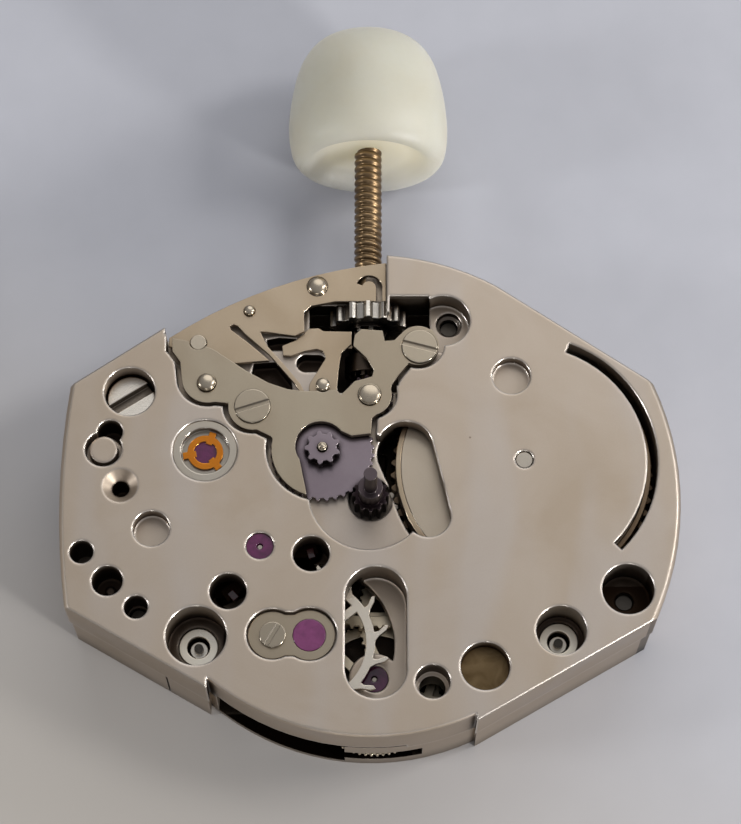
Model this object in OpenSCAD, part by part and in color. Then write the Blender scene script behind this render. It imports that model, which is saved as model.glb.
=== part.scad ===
/* [Plate] */
// Radius of the plate's long side arc on the right
side_r = 9.6; // [9.5:0.05:9.8]
// Radius of the flatter side arc on the left
left_r = 26; // [25.5:0.1:26.5]
// Radius of the plate's arc at the stem end
end_r = 8.0; // [7.95:0.05:8.1]
// Radius of the plate's arc at the foot end
foot_r = 7.68; // [7.67:0.01:7.75]
// Radius of the flatter arc left of the stem
lever_r = 15; // [14.95:0.01:15.02]
// Distance of the right oblique flat of the stem end from the centre
flat_d = 7.98; // [7.9:0.01:8.05]
// Distance of the two oblique flats of the foot end from the centre
foot_flat_d = 7.82; // [7.8:0.01:7.9]
// Direction of the stem end's flats, measured from the X axis
flat_angle = 56; // [55:0.5:57]
// Direction of the foot end's flats, measured from the X axis
foot_angle = 60; // [59:0.5:61]
// Distance of the upper left corner's flat from the centre
ear_d = 8.2; // [8.15:0.01:8.3]
// Thickness of the main plate
plate_t = 1.75; // [1.7:0.05:1.85]
// Thickness of the movement from the dial seat to the bridges' outer face
total_t = 3.9; // [3.85:0.05:4.2]
// Bevel round the side arcs
bevel = 0.12; // [0.06:0.02:0.2]
// Thickness of the plate's roof over the barrel
roof_t = 0.5; // [0.45:0.01:0.55]
// Depth of the recess for the motion work
works_depth = 0.62; // [0.6:0.01:0.64]
// Radius of the recess round the cannon pinion
seat_r = 1.87; // [1.75:0.01:1.95]

/* [Fits] */
// Radial clearance of a shaft that turns in its hole
run = 0.03; // [0.02:0.005:0.04]
// Gap between a pressed or laid-in piece and its seat
fit = 0.01; // [0.005:0.001:0.015]
// Gap between neighbouring bridges, and between bridge and plate edge
edge_gap = 0.06; // [0.04:0.01:0.1]
// Axial gap between wheels that run over each other
level_gap = 0.12; // [0.1:0.01:0.13]

/* [Going train] */
// Teeth of the barrel
barrel_teeth = 60; // [56:2:64]
// Leaves of the centre pinion
centre_leaves = 12; // [10:1:13]
// Teeth of the centre wheel
centre_teeth = 80; // [75:1:84]
// Leaves of the third and fourth pinions
train_leaves = 10; // [9:1:11]
// Teeth of the third wheel
third_teeth = 75; // [72:1:78]
// Teeth of the fourth wheel
fourth_teeth = 70; // [68:1:72]
// Leaves of the escape pinion
escape_leaves = 7; // [6:1:8]
// Height of the barrel over lid and teeth
barrel_h = 1.28; // [1.2:0.02:1.34]
// Wall of the barrel drum
drum_wall = 0.16; // [0.12:0.01:0.2]
// Thickness of a train wheel
wheel_t = 0.16; // [0.12:0.01:0.18]
// Radius of a train arbor
arbor_r = 0.17; // [0.14:0.01:0.19]
// Radius of a train pivot
pivot_r = 0.08; // [0.06:0.005:0.1]
// Radius of a pressed jewel
jewel_r = 0.42; // [0.38:0.01:0.45]
// Thickness of a pressed jewel
jewel_t = 0.26; // [0.2:0.02:0.3]

/* [Escapement] */
// Tip radius of the escape wheel
escape_r = 2.5; // [2.4:0.02:2.52]
// Teeth of the escape wheel
escape_teeth = 15; // [15:1:15]
// Depth of the escape wheel under the dial seat
escape_depth = 0.98; // [0.96:0.01:1.02]
// Thickness of the escape wheel and the pallet fork
escape_t = 0.13; // [0.1:0.01:0.15]
// Outer radius of the balance rim
balance_r = 3.3; // [3.1:0.05:3.35]
// Width of the balance rim
balance_rim = 0.38; // [0.3:0.02:0.5]
// Height of the balance rim
balance_h = 0.26; // [0.2:0.02:0.3]
// Turns of the hairspring
hairspring_turns = 7; // [5:1:8]
// Outer radius of the hairspring
hairspring_r = 1.75; // [1.6:0.05:1.9]
// Outer radius of a shock setting
shock_r = 1.0; // [0.95:0.01:1.03]

/* [Motion work] */
// Leaves of the cannon pinion
cannon_leaves = 12; // [10:1:13]
// Teeth of the minute wheel
minute_teeth = 36; // [34:1:38]
// Leaves of the minute pinion
minute_leaves = 9; // [8:1:10]
// Teeth of the setting wheel
setting_teeth = 16; // [15:1:17]
// Radius of the cannon pinion where the hour wheel runs
hour_seat_r = 0.38; // [0.38:0.005:0.4]
// Radius of the cannon pinion where the minute hand is pressed on
hand_seat_r = 0.21; // [0.19:0.01:0.21]
// Height of the hour wheel's seat above the dial seat
hour_seat_h = 0.6; // [0.4:0.05:0.8]
// Height of the cannon pinion above the dial seat
cannon_h = 1.85; // [1.5:0.05:2.1]

/* [Winding] */
// Depth of the stem's axis under the dial seat
stem_depth = 1.4; // [1.38:0.01:1.42]
// Radius of the stem's thread
thread_r = 0.45; // [0.42:0.01:0.5]
// Distance of the stem's end from the centre
stem_end = 13.6; // [13:0.1:14]
// Distance of the knob's near rim from the centre
knob_start = 11.75; // [11.65:0.05:11.85]
// Length of the knob
knob_len = 4.65; // [4.5:0.05:4.8]
// Depth of the dish round the stem in the knob's near face
dish = 0.45; // [0.3:0.05:0.6]
// Largest radius of the knob
knob_r = 2.5; // [2.3:0.05:2.5]
// How far the stem pulls out for hand setting
pull = 0.5; // [0.4:0.02:0.55]
// Teeth of the winding pinion
pinion_teeth = 14; // [13:1:15]
// Tip radius of the winding pinion
pinion_r = 1.25; // [1.2:0.01:1.27]
// Teeth of the crown wheel
crown_teeth = 20; // [18:2:22]
// Teeth of the ratchet wheel
ratchet_teeth = 40; // [36:4:44]
// Thickness of the crown and ratchet wheels
ratchet_t = 0.4; // [0.34:0.02:0.42]

/* [Keyless work] */
// Depth of the cover's face under the dial seat
cover_drop = 0.12; // [0.08:0.01:0.14]
// Thickness of the keyless cover
cover_t = 0.2; // [0.16:0.01:0.22]
// Gap between the cover and the plate round it
cover_gap = 0.17; // [0.12:0.01:0.2]
// Thickness of the spring plate
spring_plate_t = 0.15; // [0.12:0.01:0.16]
// Thickness of the yoke
yoke_t = 0.14; // [0.12:0.01:0.15]
// Radius of the two cover screws' heads
cover_screw_r = 0.56; // [0.5:0.01:0.6]

/* [Screws] */
// Radius of a bridge screw's head
head_r = 0.55; // [0.5:0.01:0.58]
// Height of a bridge screw's head
head_h = 0.4; // [0.35:0.01:0.45]
// Radius of a bridge screw's shank
shank_r = 0.27; // [0.25:0.01:0.29]
// Width of a screw slot
slot_w = 0.13; // [0.1:0.01:0.16]
// Outer radius of the tubes that place the train bridge
tube_r = 0.6; // [0.56:0.01:0.62]

/* [Hidden] */
$fn = 64;

// Axes of the movement in the plane of the plate
centre_at = [0, 0];
barrel_at = [4.78, 1.1];
third_at = [2.6, -3.3];
fourth_at = [0.12, -5.57];
escape_at = [-1.88, -4.5];
pallet_at = [-3.4, -1.7];
balance_at = [-5.15, 1.4];
minute_at = [-1.5, 1.5];
left_at = [left_r - 9.63, 0.2];
lever_arc_at = [2.15, -7];
lever_end = 0.5;
ear_x = -6.5;
foot_x = [-4.95, 3.2];
stem_x = -0.08;
setting_at = [-0.03, 3.29];
crown_at = [stem_x, 4.5];

// Places of screws and pins
cover_screw_at = [[-3.7, 2.9], [1.55, 4.9]];
tube_at = [[-5.3, -4.55], [5.8, -4.38]];
barrel_screws_at = [[2.5, 5.93], [-2.4, 6.4], [7.87, -3.08]];
cock_screw_at = [-7.15, -3.65];
pallet_screws_at = [[-5.15, -2.55], [-1.7, -0.85]];
case_screw_at = [-7.55, 3.35];
cap_screw_at = [-2.98, -4.5];
cap_jewel_at = [-1.86, -4.5];
yoke_pin_at = [-1.5, 3.65];
lever_pin_at = [-1.7, 7.05];
cover_pins_at = [[-5.15, 3.68], [-5.45, 5.1], [-3.85, 6.2]];

// Levels, from the dial seat down
stem_z = -stem_depth;
barrel_z = -roof_t - 0.15;
barrel_floor = barrel_z - barrel_h;
teeth_h = 0.4;
centre_z = barrel_floor - level_gap;
third_z = centre_z - wheel_t - level_gap;
fourth_z = third_z - wheel_t - level_gap;
fourth_floor = fourth_z - wheel_t;
balance_z = centre_z - wheel_t - 0.25;
hairspring_z = balance_z - balance_h - level_gap;
hairspring_h = 0.14;
cock_z = hairspring_z - hairspring_h - 0.1;
bridge_z = -total_t;
ratchet_z = bridge_z + ratchet_t + 0.08;
clutch_floor = -2.2;
room_gap = 0.08;
escape_z = -escape_depth;
escape_roof = escape_z + 0.1;
jewel_roof = -1.3;
pallet_recess = -1.43;
cover_z = -cover_drop;
lever_z = cover_z - cover_t - 0.01;
yoke_z = lever_z - spring_plate_t - 0.02;
motion_z = cover_z - cover_t - 0.06;
motion_t = 0.15;
works_floor = -works_depth;
yoke_floor = yoke_z - yoke_t - 0.04;
lever_floor = yoke_floor - 0.24;
well_floor = works_floor - 0.4;
shock_depth = 0.56;
shock_pivot = 0.37;

// Radii that follow from the axes and the tooth counts
function apart(a, b) = norm(b - a);
function toward(a, b) = atan2(b[1] - a[1], b[0] - a[0]);
function pitch_r(a, b, n, m) = apart(a, b) * n / (n + m);
barrel_pr = pitch_r(barrel_at, centre_at, barrel_teeth, centre_leaves);
centre_pinion_pr = pitch_r(barrel_at, centre_at, centre_leaves, barrel_teeth);
centre_pr = pitch_r(centre_at, third_at, centre_teeth, train_leaves);
third_pinion_pr = pitch_r(centre_at, third_at, train_leaves, centre_teeth);
third_pr = pitch_r(third_at, fourth_at, third_teeth, train_leaves);
fourth_pinion_pr = pitch_r(third_at, fourth_at, train_leaves, third_teeth);
fourth_pr = pitch_r(fourth_at, escape_at, fourth_teeth, escape_leaves);
escape_pinion_pr = pitch_r(fourth_at, escape_at, escape_leaves, fourth_teeth);
cannon_pr = pitch_r(centre_at, minute_at, cannon_leaves, minute_teeth);
minute_pr = pitch_r(centre_at, minute_at, minute_teeth, cannon_leaves);
setting_pr = apart(minute_at, setting_at) - minute_pr;
crown_pr = pitch_r(crown_at, barrel_at, crown_teeth, ratchet_teeth);
ratchet_pr = pitch_r(crown_at, barrel_at, ratchet_teeth, crown_teeth);
tooth_add = 0.42;
tooth_ded = 0.55;
function tip(pr, n) = pr * (1 + 2 * tooth_add / n);
function root(pr, n) = pr * (1 - 2 * tooth_ded / n);
barrel_tip = tip(barrel_pr, barrel_teeth);
barrel_room_r = barrel_tip + room_gap;
drum_r = root(barrel_pr, barrel_teeth) - 0.02;
ratchet_room_r = tip(ratchet_pr, ratchet_teeth) + 0.07;
crown_room_r = tip(crown_pr, crown_teeth) + room_gap;
roller_r = 0.78;
well_r = tip(cannon_pr, cannon_leaves) + 0.12;
pin_orbit = 0.62;
fork_len = apart(pallet_at, balance_at) - pin_orbit;
pinion_y0 = 5.97;
pinion_y1 = 6.5;
pinion_pr = pinion_r / (1 + 2 * tooth_add / pinion_teeth);
crown_rim_z = stem_z - root(pinion_pr, pinion_teeth) - 0.05;
crown_ring_in = pinion_y0 - crown_at[1] + 0.03;
crown_ring_out = pinion_y1 - crown_at[1] - 0.05;
stem_journal = 0.42;
lever_groove_y = 6.85;
click_at = barrel_at + (tip(ratchet_pr, ratchet_teeth) + 0.6) * [cos(100), sin(100)];
click_beak = barrel_at + (tip(ratchet_pr, ratchet_teeth) + 0.15) * [cos(86), sin(86)];
click_rest = toward(click_at, click_beak);

// Angle of a tooth on wheel 2 so that it enters a gap of wheel 1, whose tooth is at phase
function mesh_phase(at1, n1, phase, at2, n2) =
    let (line = toward(at1, at2), off = phase + 180 / n1 - line)
    line + 180 - off * n1 / n2;
centre_pinion_phase = mesh_phase(barrel_at, barrel_teeth, 0, centre_at, centre_leaves);
third_pinion_phase = mesh_phase(centre_at, centre_teeth, 0, third_at, train_leaves);
fourth_pinion_phase = mesh_phase(third_at, third_teeth, 0, fourth_at, train_leaves);
escape_pinion_phase = mesh_phase(fourth_at, fourth_teeth, 0, escape_at, escape_leaves);
minute_phase = mesh_phase(centre_at, cannon_leaves, 0, minute_at, minute_teeth);
setting_phase = mesh_phase(minute_at, minute_teeth, minute_phase, setting_at, setting_teeth);
crown_phase = mesh_phase(barrel_at, ratchet_teeth, 0, crown_at, crown_teeth);

// Basic shapes

// A disc between two levels
module disc(at, r, top, bottom) {
    translate([at[0], at[1], bottom]) cylinder(r = r, h = top - bottom);
}

// A flat shape between two levels
module slab(top, bottom) {
    translate([0, 0, bottom]) linear_extrude(top - bottom) children();
}

// Two circles joined by their tangents, which start a hair inside the circles
module capsule(a, ra, b, rb) {
    line = toward(a, b);
    lean = acos((ra - rb) / apart(a, b));
    left = [cos(line + lean), sin(line + lean)];
    right = [cos(line - lean), sin(line - lean)];
    hair = 0.002;
    translate(a) circle(ra);
    translate(b) circle(rb);
    polygon([a + (ra - hair) * left, a + (ra - hair) * right,
        b + (rb - hair) * right, b + (rb - hair) * left]);
}

// Teeth round a pitch circle, with one tooth along phase
module teeth(pr, n, phase = 0, fill = 0.3) {
    step = 360 / n;
    rr = root(pr, n);
    rt = tip(pr, n);
    polygon([for (i = [0:n - 1], p = [[rr, -fill], [pr, -0.21], [rt, -0.1],
            [rt, 0.1], [pr, 0.21], [rr, fill]])
        let (a = phase + step * (i + p[1])) p[0] * [cos(a), sin(a)]]);
}

// A toothed wheel with spokes
module spoked(at, pr, n, phase, spokes, top, t, rim = 0.3, hub = 0.5, bore = arbor_r) {
    rim_r = root(pr, n) - rim;
    translate([at[0], at[1], 0]) slab(top, top - t) difference() {
        union() {
            difference() {
                teeth(pr, n, phase);
                circle(rim_r);
            }
            circle(hub);
            for (i = [0:spokes - 1]) rotate(phase + 360 / spokes * (i + 0.5))
                translate([hub - 0.1, -0.14]) square([rim_r - hub + 0.2, 0.28]);
        }
        circle(bore + fit);
    }
}

// A pinion cut on its arbor, with a pivot at each end
module arbor(at, pr, n, phase, leaf_top, leaf_floor, top, bottom) {
    disc(at, arbor_r, top, bottom);
    disc(at, pivot_r, top + 0.2, bottom - 0.2);
    translate([at[0], at[1], 0]) slab(leaf_top, leaf_floor) teeth(pr, n, phase);
}

// A screw whose head faces down, on the bridge side
module screw_down(at, face, r, h, shank, tip_z, slot_angle = 20) {
    difference() {
        disc(at, r, face + h, face);
        translate([at[0], at[1], face - 0.1]) rotate(slot_angle)
            translate([-r - 1, -slot_w / 2, 0]) cube([2 * r + 2, slot_w, 0.1 + h * 0.4]);
    }
    disc(at, shank, tip_z, face + h);
}

// A screw whose head faces up, on the dial side
module screw_up(at, face, r, h, shank, tip_z, slot_angle = 20, width = slot_w, part = 0.4) {
    difference() {
        disc(at, r, face, face - h);
        translate([at[0], at[1], face - h * part]) rotate(slot_angle)
            translate([-r - 1, -width / 2, 0]) cube([2 * r + 2, width, 1]);
    }
    disc(at, shank, face - h, tip_z);
}

// A ring jewel with its pivot hole
module ring_jewel(at, r, top, t) {
    difference() {
        disc(at, r, top, top - t);
        disc(at, pivot_r + 0.02, top + 1, top - t - 1);
    }
}

// Half plane that ends at distance d along a direction
module half_plane(angle, d) {
    rotate(angle) translate([d - 30, -20]) square([30, 40]);
}

// The movement's outline, drawn in by inset
module outline(inset = 0) {
    end_x = (end_r - inset) * cos(flat_angle + acos(min(1, flat_d / end_r)));
    intersection() {
        union() {
            intersection() {
                circle(side_r - inset, $fn = 180);
                translate([0, -20]) square([20, 40]);
            }
            intersection() {
                translate(left_at) circle(left_r - inset, $fn = 240);
                translate([-20, -20]) square([20.01, 40]);
            }
        }
        union() {
            stem_end_form(inset, end_x);
            foot_end_form(inset);
        }
    }
}

// Half of the outline on the stem's side: arc and flat on the right, a flatter arc over the
// levers, and a corner that stands out at the left
module stem_end_form(inset, end_x) {
    intersection() {
        translate([lever_end - 0.01, -0.01]) square([20, 20]);
        half_plane(flat_angle, flat_d - inset);
        union() {
            circle(end_r - inset, $fn = 180);
            translate([end_x, 0]) square([20, 20]);
        }
    }
    intersection() {
        translate([ear_x - inset - 0.01, -0.01]) square([lever_end - ear_x + inset + 0.01, 20]);
        translate(lever_arc_at) circle(lever_r - inset, $fn = 240);
    }
    intersection() {
        translate([ear_x - inset - 20, -0.01]) square([20, 20]);
        half_plane(180 - flat_angle, ear_d - inset);
    }
}

// Half of the outline on the foot's side, whose arc lies a little behind its flats
module foot_end_form(inset) {
    intersection() {
        translate([-20, -20]) square([40, 20]);
        half_plane(-foot_angle, foot_flat_d - inset);
        half_plane(foot_angle - 180, foot_flat_d - inset);
        union() {
            circle(foot_r - inset, $fn = 180);
            translate([foot_x[1] + inset, -20]) square([20, 20]);
            translate([foot_x[0] - inset - 20, -20]) square([20, 20]);
        }
    }
}

// Strip along the foot arc between two places, as deep as given
module foot_strip(x0, x1, depth) {
    difference() {
        translate([x0, -9]) square([x1 - x0, 5]);
        circle(foot_r - depth, $fn = 180);
    }
}

// Keyless cover outline, grown by g for the recess round it
module cover_form(g = 0) {
    translate([-5.1, 3.85]) circle(0.83 + g);
    translate([-3.68, 2.9]) circle(0.78 + g);
    translate(minute_at) circle(minute_pr + g);
    translate(setting_at) circle(0.7 + g);
    translate([1.5, 4.95]) circle(0.66 + g);
    offset(delta = g) polygon([
        [-5.93, 3.8], [-5.6, 3.2], [-4.9, 3.05], [-4.4, 3.0], [-3.7, 2.2], [-3.1, 1.9],
        [-2.0, 0.6], [-1.5, 0.2], [0.0, 1.6], [0.05, 2.5], [0.6, 3.0], [0.66, 3.6], [0.85, 3.9],
        [1.2, 4.35], [2.1, 5.2], [1.95, 5.5], [1.2, 5.55], [0.92, 5.3], [0.75, 5.12],
        [0.45, 5.1], [0.38, 5.45], [-0.3, 5.5], [-0.5, 5.3], [-0.55, 4.9], [-0.1, 4.5],
        [0, 4.0], [-0.9, 3.4], [-1.1, 3.45], [-2.05, 3.4], [-2.6, 3.47], [-3.2, 3.68],
        [-3.9, 4.08], [-4.9, 4.78], [-5.4, 5.02], [-6.28, 5.2], [-6.25, 4.75], [-6.0, 4.4],
    ]);
}

// Opening of the cover over the minute wheel and the centre
module cover_window() {
    translate([-1.55, 1.6]) circle(0.8);
    polygon([[-2.3, 1.6], [-2.0, 0.1], [-2.0, -1.5], [1.5, -1.5], [1.5, 1.9], [0, 2.0],
        [-0.6, 1.93], [-0.95, 2.1]]);
}

// Opening between the yoke and the cover, where the setting wheel shows
module heart_opening() {
    translate([-0.62, 4.2]) circle(0.45);
    polygon([[-0.55, 4.95], [-0.1, 4.5], [0.1, 4.12], [0.05, 3.9], [-0.2, 3.82], [-0.5, 3.74],
        [-0.72, 3.5], [-0.93, 3.28], [-1.1, 3.5], [-1.1, 5.0]]);
}

// Field of the plate that holds the levers, open at the plate's edge
module lever_field() {
    polygon([[-6.45, 10], [-6.45, 4.7], [-4.5, 3.4], [-1.5, 3.15], [-1.0, 3.15],
        [-0.2, 4.0], [0.52, 5.0], [0.52, 10]]);
}

// Window in the roof over the barrel, beside the cannon pinion
module barrel_window() {
    capsule([1.08, 1.48], 0.88, [1.78, -0.72], 0.7);
}

// Places of the bridges
module barrel_bridge_field(g = 0) {
    translate(barrel_at) circle(ratchet_room_r + 0.2 + g);
    offset(delta = g) polygon([[4.78, -3.1], [6.6, -3.3], [7.1, -3.85], [12, -3.85], [12, 12],
        [-2.95, 12], [-2.95, 4.85],
        [-1.9, 2.75], [0.5, 2.0], [1.5, 0]]);
}

module balance_field(g = 0) {
    translate(balance_at) circle(balance_r + 0.15 + g);
}

module cock_field(g = 0) {
    offset(delta = g) polygon([[-12, 0], [-7.6, -1.2], [-6.35, -2.4], [-6.35, -6], [-12, -6]]);
}

// Rooms of the train in the bridges
module train_rooms() {
    disc(barrel_at, barrel_room_r, -plate_t + 1, barrel_floor - 0.07);
    disc(centre_at, tip(centre_pr, centre_teeth) + room_gap, -plate_t + 1,
        centre_z - wheel_t - 0.06);
    disc(third_at, tip(third_pr, third_teeth) + room_gap, -plate_t + 1, third_z - wheel_t - 0.06);
    disc(fourth_at, tip(fourth_pr, fourth_teeth) + room_gap, fourth_z + 0.1,
        fourth_floor - 0.06);
    intersection() {
        disc(fourth_at, tip(fourth_pr, fourth_teeth) + room_gap, -plate_t + 1, fourth_z + 0.05);
        cylinder(r = foot_r - 0.35, h = 20, center = true, $fn = 180);
    }
    disc(escape_at, 0.7, -plate_t + 1, fourth_floor - 0.06);
}

// Dial side of the frame

// Countersunk oiling sink over a hole
module sink(at, r, depth) {
    translate([at[0], at[1], -depth]) rotate_extrude()
        polygon([[0, 0], [r * 0.35, 0], [r, depth], [r, depth + 0.5], [0, depth + 0.5]]);
}

// Cone that bevels an arc's upper edge
module rim_cut(r, b) {
    rotate_extrude($fn = 240) polygon([[r - b, 0.01], [r + 1, 0.01], [r + 1, -1 - b]]);
}

module plate_body() {
    difference() {
        slab(0, -plate_t) outline();
        intersection() {
            rim_cut(side_r, bevel);
            translate([5, -12, -3]) cube([9, 24, 6]);
        }
        intersection() {
            translate([left_at[0], left_at[1], 0]) rim_cut(left_r, bevel);
            translate([-14, -12, -3]) cube([9, 24, 6]);
        }
        intersection() {
            rim_cut(foot_r, bevel / 2);
            translate([foot_x[0], -9, -3]) cube([foot_x[1] - foot_x[0], 4, 6]);
        }
    }
}

module plate_recesses() {
    slab(1, works_floor) cover_form(cover_gap);
    slab(1, yoke_floor) lever_field();
    disc([-0.05, 0.05], seat_r, 1, works_floor);
    disc(centre_at, well_r, 1, well_floor);
    slab(1, lever_floor) polygon([[-3.4, 5.6], [-1.9, 5.6], [-1.9, 6.3], [0.15, 6.3],
        [0.15, 9], [-2.6, 9], [-3.4, 6.7]]);
    // escape wheel slot and the room under it
    slab(1, jewel_roof) capsule([0.165, -3.3], 0.95, [0.165, -5.55], 0.95);
    difference() {
        disc(escape_at, escape_r + room_gap + 0.04, escape_roof, -plate_t - 1);
        disc(fourth_at, 0.8, jewel_roof, -plate_t - 1);
    }
    // recess of the escape cap plate
    slab(1, -0.3) cap_form(0.06);
    // deep pockets under the keyless work
    slab(1, -1.2) {
        polygon([[-3.25, 4.98], [-2.35, 4.98], [-2.35, 5.38], [-2.9, 5.43], [-3.3, 5.35]]);
        capsule([-2.05, 4.55], 0.3, [-1.66, 4.55], 0.29);
        polygon([[-3.7, 4.55], [-3.0, 4.6], [-2.5, 3.95], [-2.45, 3.55], [-3.2, 3.72],
            [-3.8, 4.1]]);
    }
    // underside of the foot's rim
    slab(-1.45, -plate_t - 1) foot_strip(-4.75, 1.1, 0.6);
    // pallet fork, its arms and the roller
    slab(escape_roof, -plate_t - 1) {
        capsule(pallet_at, 0.62, balance_at, 0.62);
        translate(pallet_at) circle(0.95);
        at_pallet() capsule([-0.5, 1.3], 0.55, [-0.5, -1.35], 0.46);
    }
    disc(balance_at, roller_r + 0.2, escape_roof, -plate_t - 1);
    slab(pallet_recess, -plate_t - 1) pallet_bridge_form(edge_gap);
    // barrel, centre pinion and third pinion
    disc(barrel_at, barrel_room_r, -roof_t, -plate_t - 1);
    disc(centre_at, tip(centre_pinion_pr, centre_leaves) + 0.4, -plate_t + 0.3,
        -plate_t - 1);
    slab(1, -plate_t) barrel_window();
    slab(1, -plate_t) intersection() {
        difference() {
            translate(barrel_at) circle(4.15);
            translate(barrel_at) circle(3.82);
        }
        translate(barrel_at) polygon([[0, 0], 9 * [cos(69), sin(69)], [9, 4], [9, -4],
            9 * [cos(45), -sin(45)]]);
    }
    // winding pinion, clutch and stem
    slab(1, -plate_t - 1) {
        translate([-1.95, 5.55]) square([2.35, 0.9]);
        translate([0.6, 5.62]) square([1.26, 0.97]);
        translate([-1.05, 3.55]) square([1.93, 2.5]);
    }
    slab(1, -plate_t - 1) polygon([[0.4, 5.0], [0.75, 5.0], [1.2, 5.5], [1.9, 5.6], [1.9, 5.9],
        [0.4, 5.9]]);
    slab(-0.24, -plate_t - 1) translate([-1.95, 5.55]) square([3.83, 1.07]);
    stem_bore();
    slab(1, stem_z) translate([-0.65, 6.3]) square([0.5, 1.35]);
}

// Hole of the stem: its journal at the edge and its pivot near the centre
module stem_bore() {
    translate([stem_x, pinion_y0, stem_z]) rotate([-90, 0, 0])
        cylinder(r = stem_journal + run, h = 4);
    translate([stem_x, 3.2, stem_z]) rotate([-90, 0, 0]) cylinder(r = 0.14 + run, h = 2);
}

module plate_holes() {
    // inspection holes over the pallet stones
    disc([-1.82, -1.95], 0.57, 1, escape_roof - 0.5);
    disc([-4.35, -3.15], 0.57, 1, escape_roof - 0.5);
    // blind holes of the dial side
    disc([4.42, 3.87], 0.6, 1, -0.4);
    disc([3.47, -5.5], 0.75, 1, -0.72);
    difference() {
        disc([-8.31, 1.45], 0.58, 1, -0.55);
        disc([-8.31, 1.45], 0.43, -0.1, -0.6);
    }
    difference() {
        disc([-8.12, 2.0], 0.4, 1, -1.2);
        disc([-8.31, 1.45], 0.57, 2, -2);
    }
    disc([-6.75, -1.15], 0.57, 1, -0.5);
    disc([-8.87, -1.9], 0.37, 1, -plate_t - 1);
    sink([-7.75, 0.25], 0.56, 0.3);
    disc([-7.75, 0.2], 0.27, 1, -1.3);
    difference() {
        disc([-8.05, -2.82], 0.48, 1, -1.4);
        disc([-8.05, -2.82], 0.15, -1.15, -1.5);
    }
    // barrel arbor and shock setting
    disc(barrel_at, arbor_r * 1.5 + run, 1, -plate_t);
    disc(balance_at, shock_r + fit, 1, -shock_depth);
    disc(balance_at, 0.42, 1, -plate_t);
    // jewels pressed in the plate
    disc(pallet_at, jewel_r + fit, 1, -0.36);
    disc(pallet_at, arbor_r + 0.08, 1, -plate_t);
    disc(escape_at, arbor_r + 0.08, 1, -plate_t);
    disc(escape_at, jewel_r + fit, 1, -0.7);
    disc(fourth_at, jewel_r + fit, 1, jewel_roof - jewel_t);
    disc(fourth_at, arbor_r + 0.08, 1, -plate_t - 1);
    disc(third_at, jewel_r + fit, -plate_t + jewel_t + 0.05, -plate_t - 1);
    disc(third_at, pivot_r + 0.06, -plate_t + jewel_t + 0.25, -plate_t - 1);
    disc(centre_at, arbor_r + run, 1, -plate_t - 1);
    // posts and pins pressed in the plate
    for (p = cover_pins_at) disc(p, 0.17 + fit, 1, -1.3);
    disc(yoke_pin_at, 0.17 + fit, 1, -1.3);
    disc(lever_pin_at, 0.2 + fit, 1, -1.5);
    disc(minute_at, 0.14 + fit, 1, -1.3);
    for (p = cover_screw_at) disc(p, 0.24 + fit, 1, -1.45);
    disc(case_screw_at, 0.8, 1, -1.2);
    disc(case_screw_at, shank_r + fit, 1, -plate_t - 1);
    // bridge screws
    disc(barrel_screws_at[0], 0.4, 1, -1.1);
    disc([2.3, 5.75], 0.85, 1, -0.85);
    disc(barrel_screws_at[2], 0.8, 1, -1.4);
    for (p = barrel_screws_at) disc(p, shank_r + fit, -0.8, -plate_t - 1);
    disc([1.88, -5.98], 0.53, 1, -0.85);
    disc([1.88, -6.0], 0.4, 1, -plate_t - 1);
    disc(cock_screw_at, 0.37, 1, -1.15);
    disc(cock_screw_at, shank_r + fit, 1, -plate_t - 1);
    for (p = pallet_screws_at) disc(p, 0.16 + fit, -1.0, -plate_t - 1);
    for (i = [0, 1]) {
        disc(tube_at[i], i == 0 ? 0.93 : 0.77, 1, jewel_roof);
        disc(tube_at[i], tube_r + fit, 1, -plate_t - 1);
    }
}

module main_plate() {
    color("#c9c2b4") difference() {
        plate_body();
        plate_recesses();
        plate_holes();
    }
}

module keyless_cover() {
    color("#cfcabd") difference() {
        slab(cover_z, cover_z - cover_t) difference() {
            cover_form();
            cover_window();
            heart_opening();
            translate(cover_pins_at[0]) circle(0.3 + fit);
            translate(cover_pins_at[1]) circle(0.3);
            translate(setting_at) circle(0.36 + fit);
            translate(yoke_pin_at) circle(0.27 + fit);
            for (p = cover_screw_at) translate(p) circle(0.26);
        }
        for (p = cover_screw_at) disc(p, cover_screw_r + fit, 1, cover_z - 0.13);
    }
}

module cover_screws() {
    color("#d6d0c2") {
        screw_up(cover_screw_at[0], cover_z + 0.06, cover_screw_r, 0.18, 0.24, -1.4, 18);
        screw_up(cover_screw_at[1], cover_z + 0.06, cover_screw_r, 0.18, 0.24, -1.4, -15);
    }
}

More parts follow.
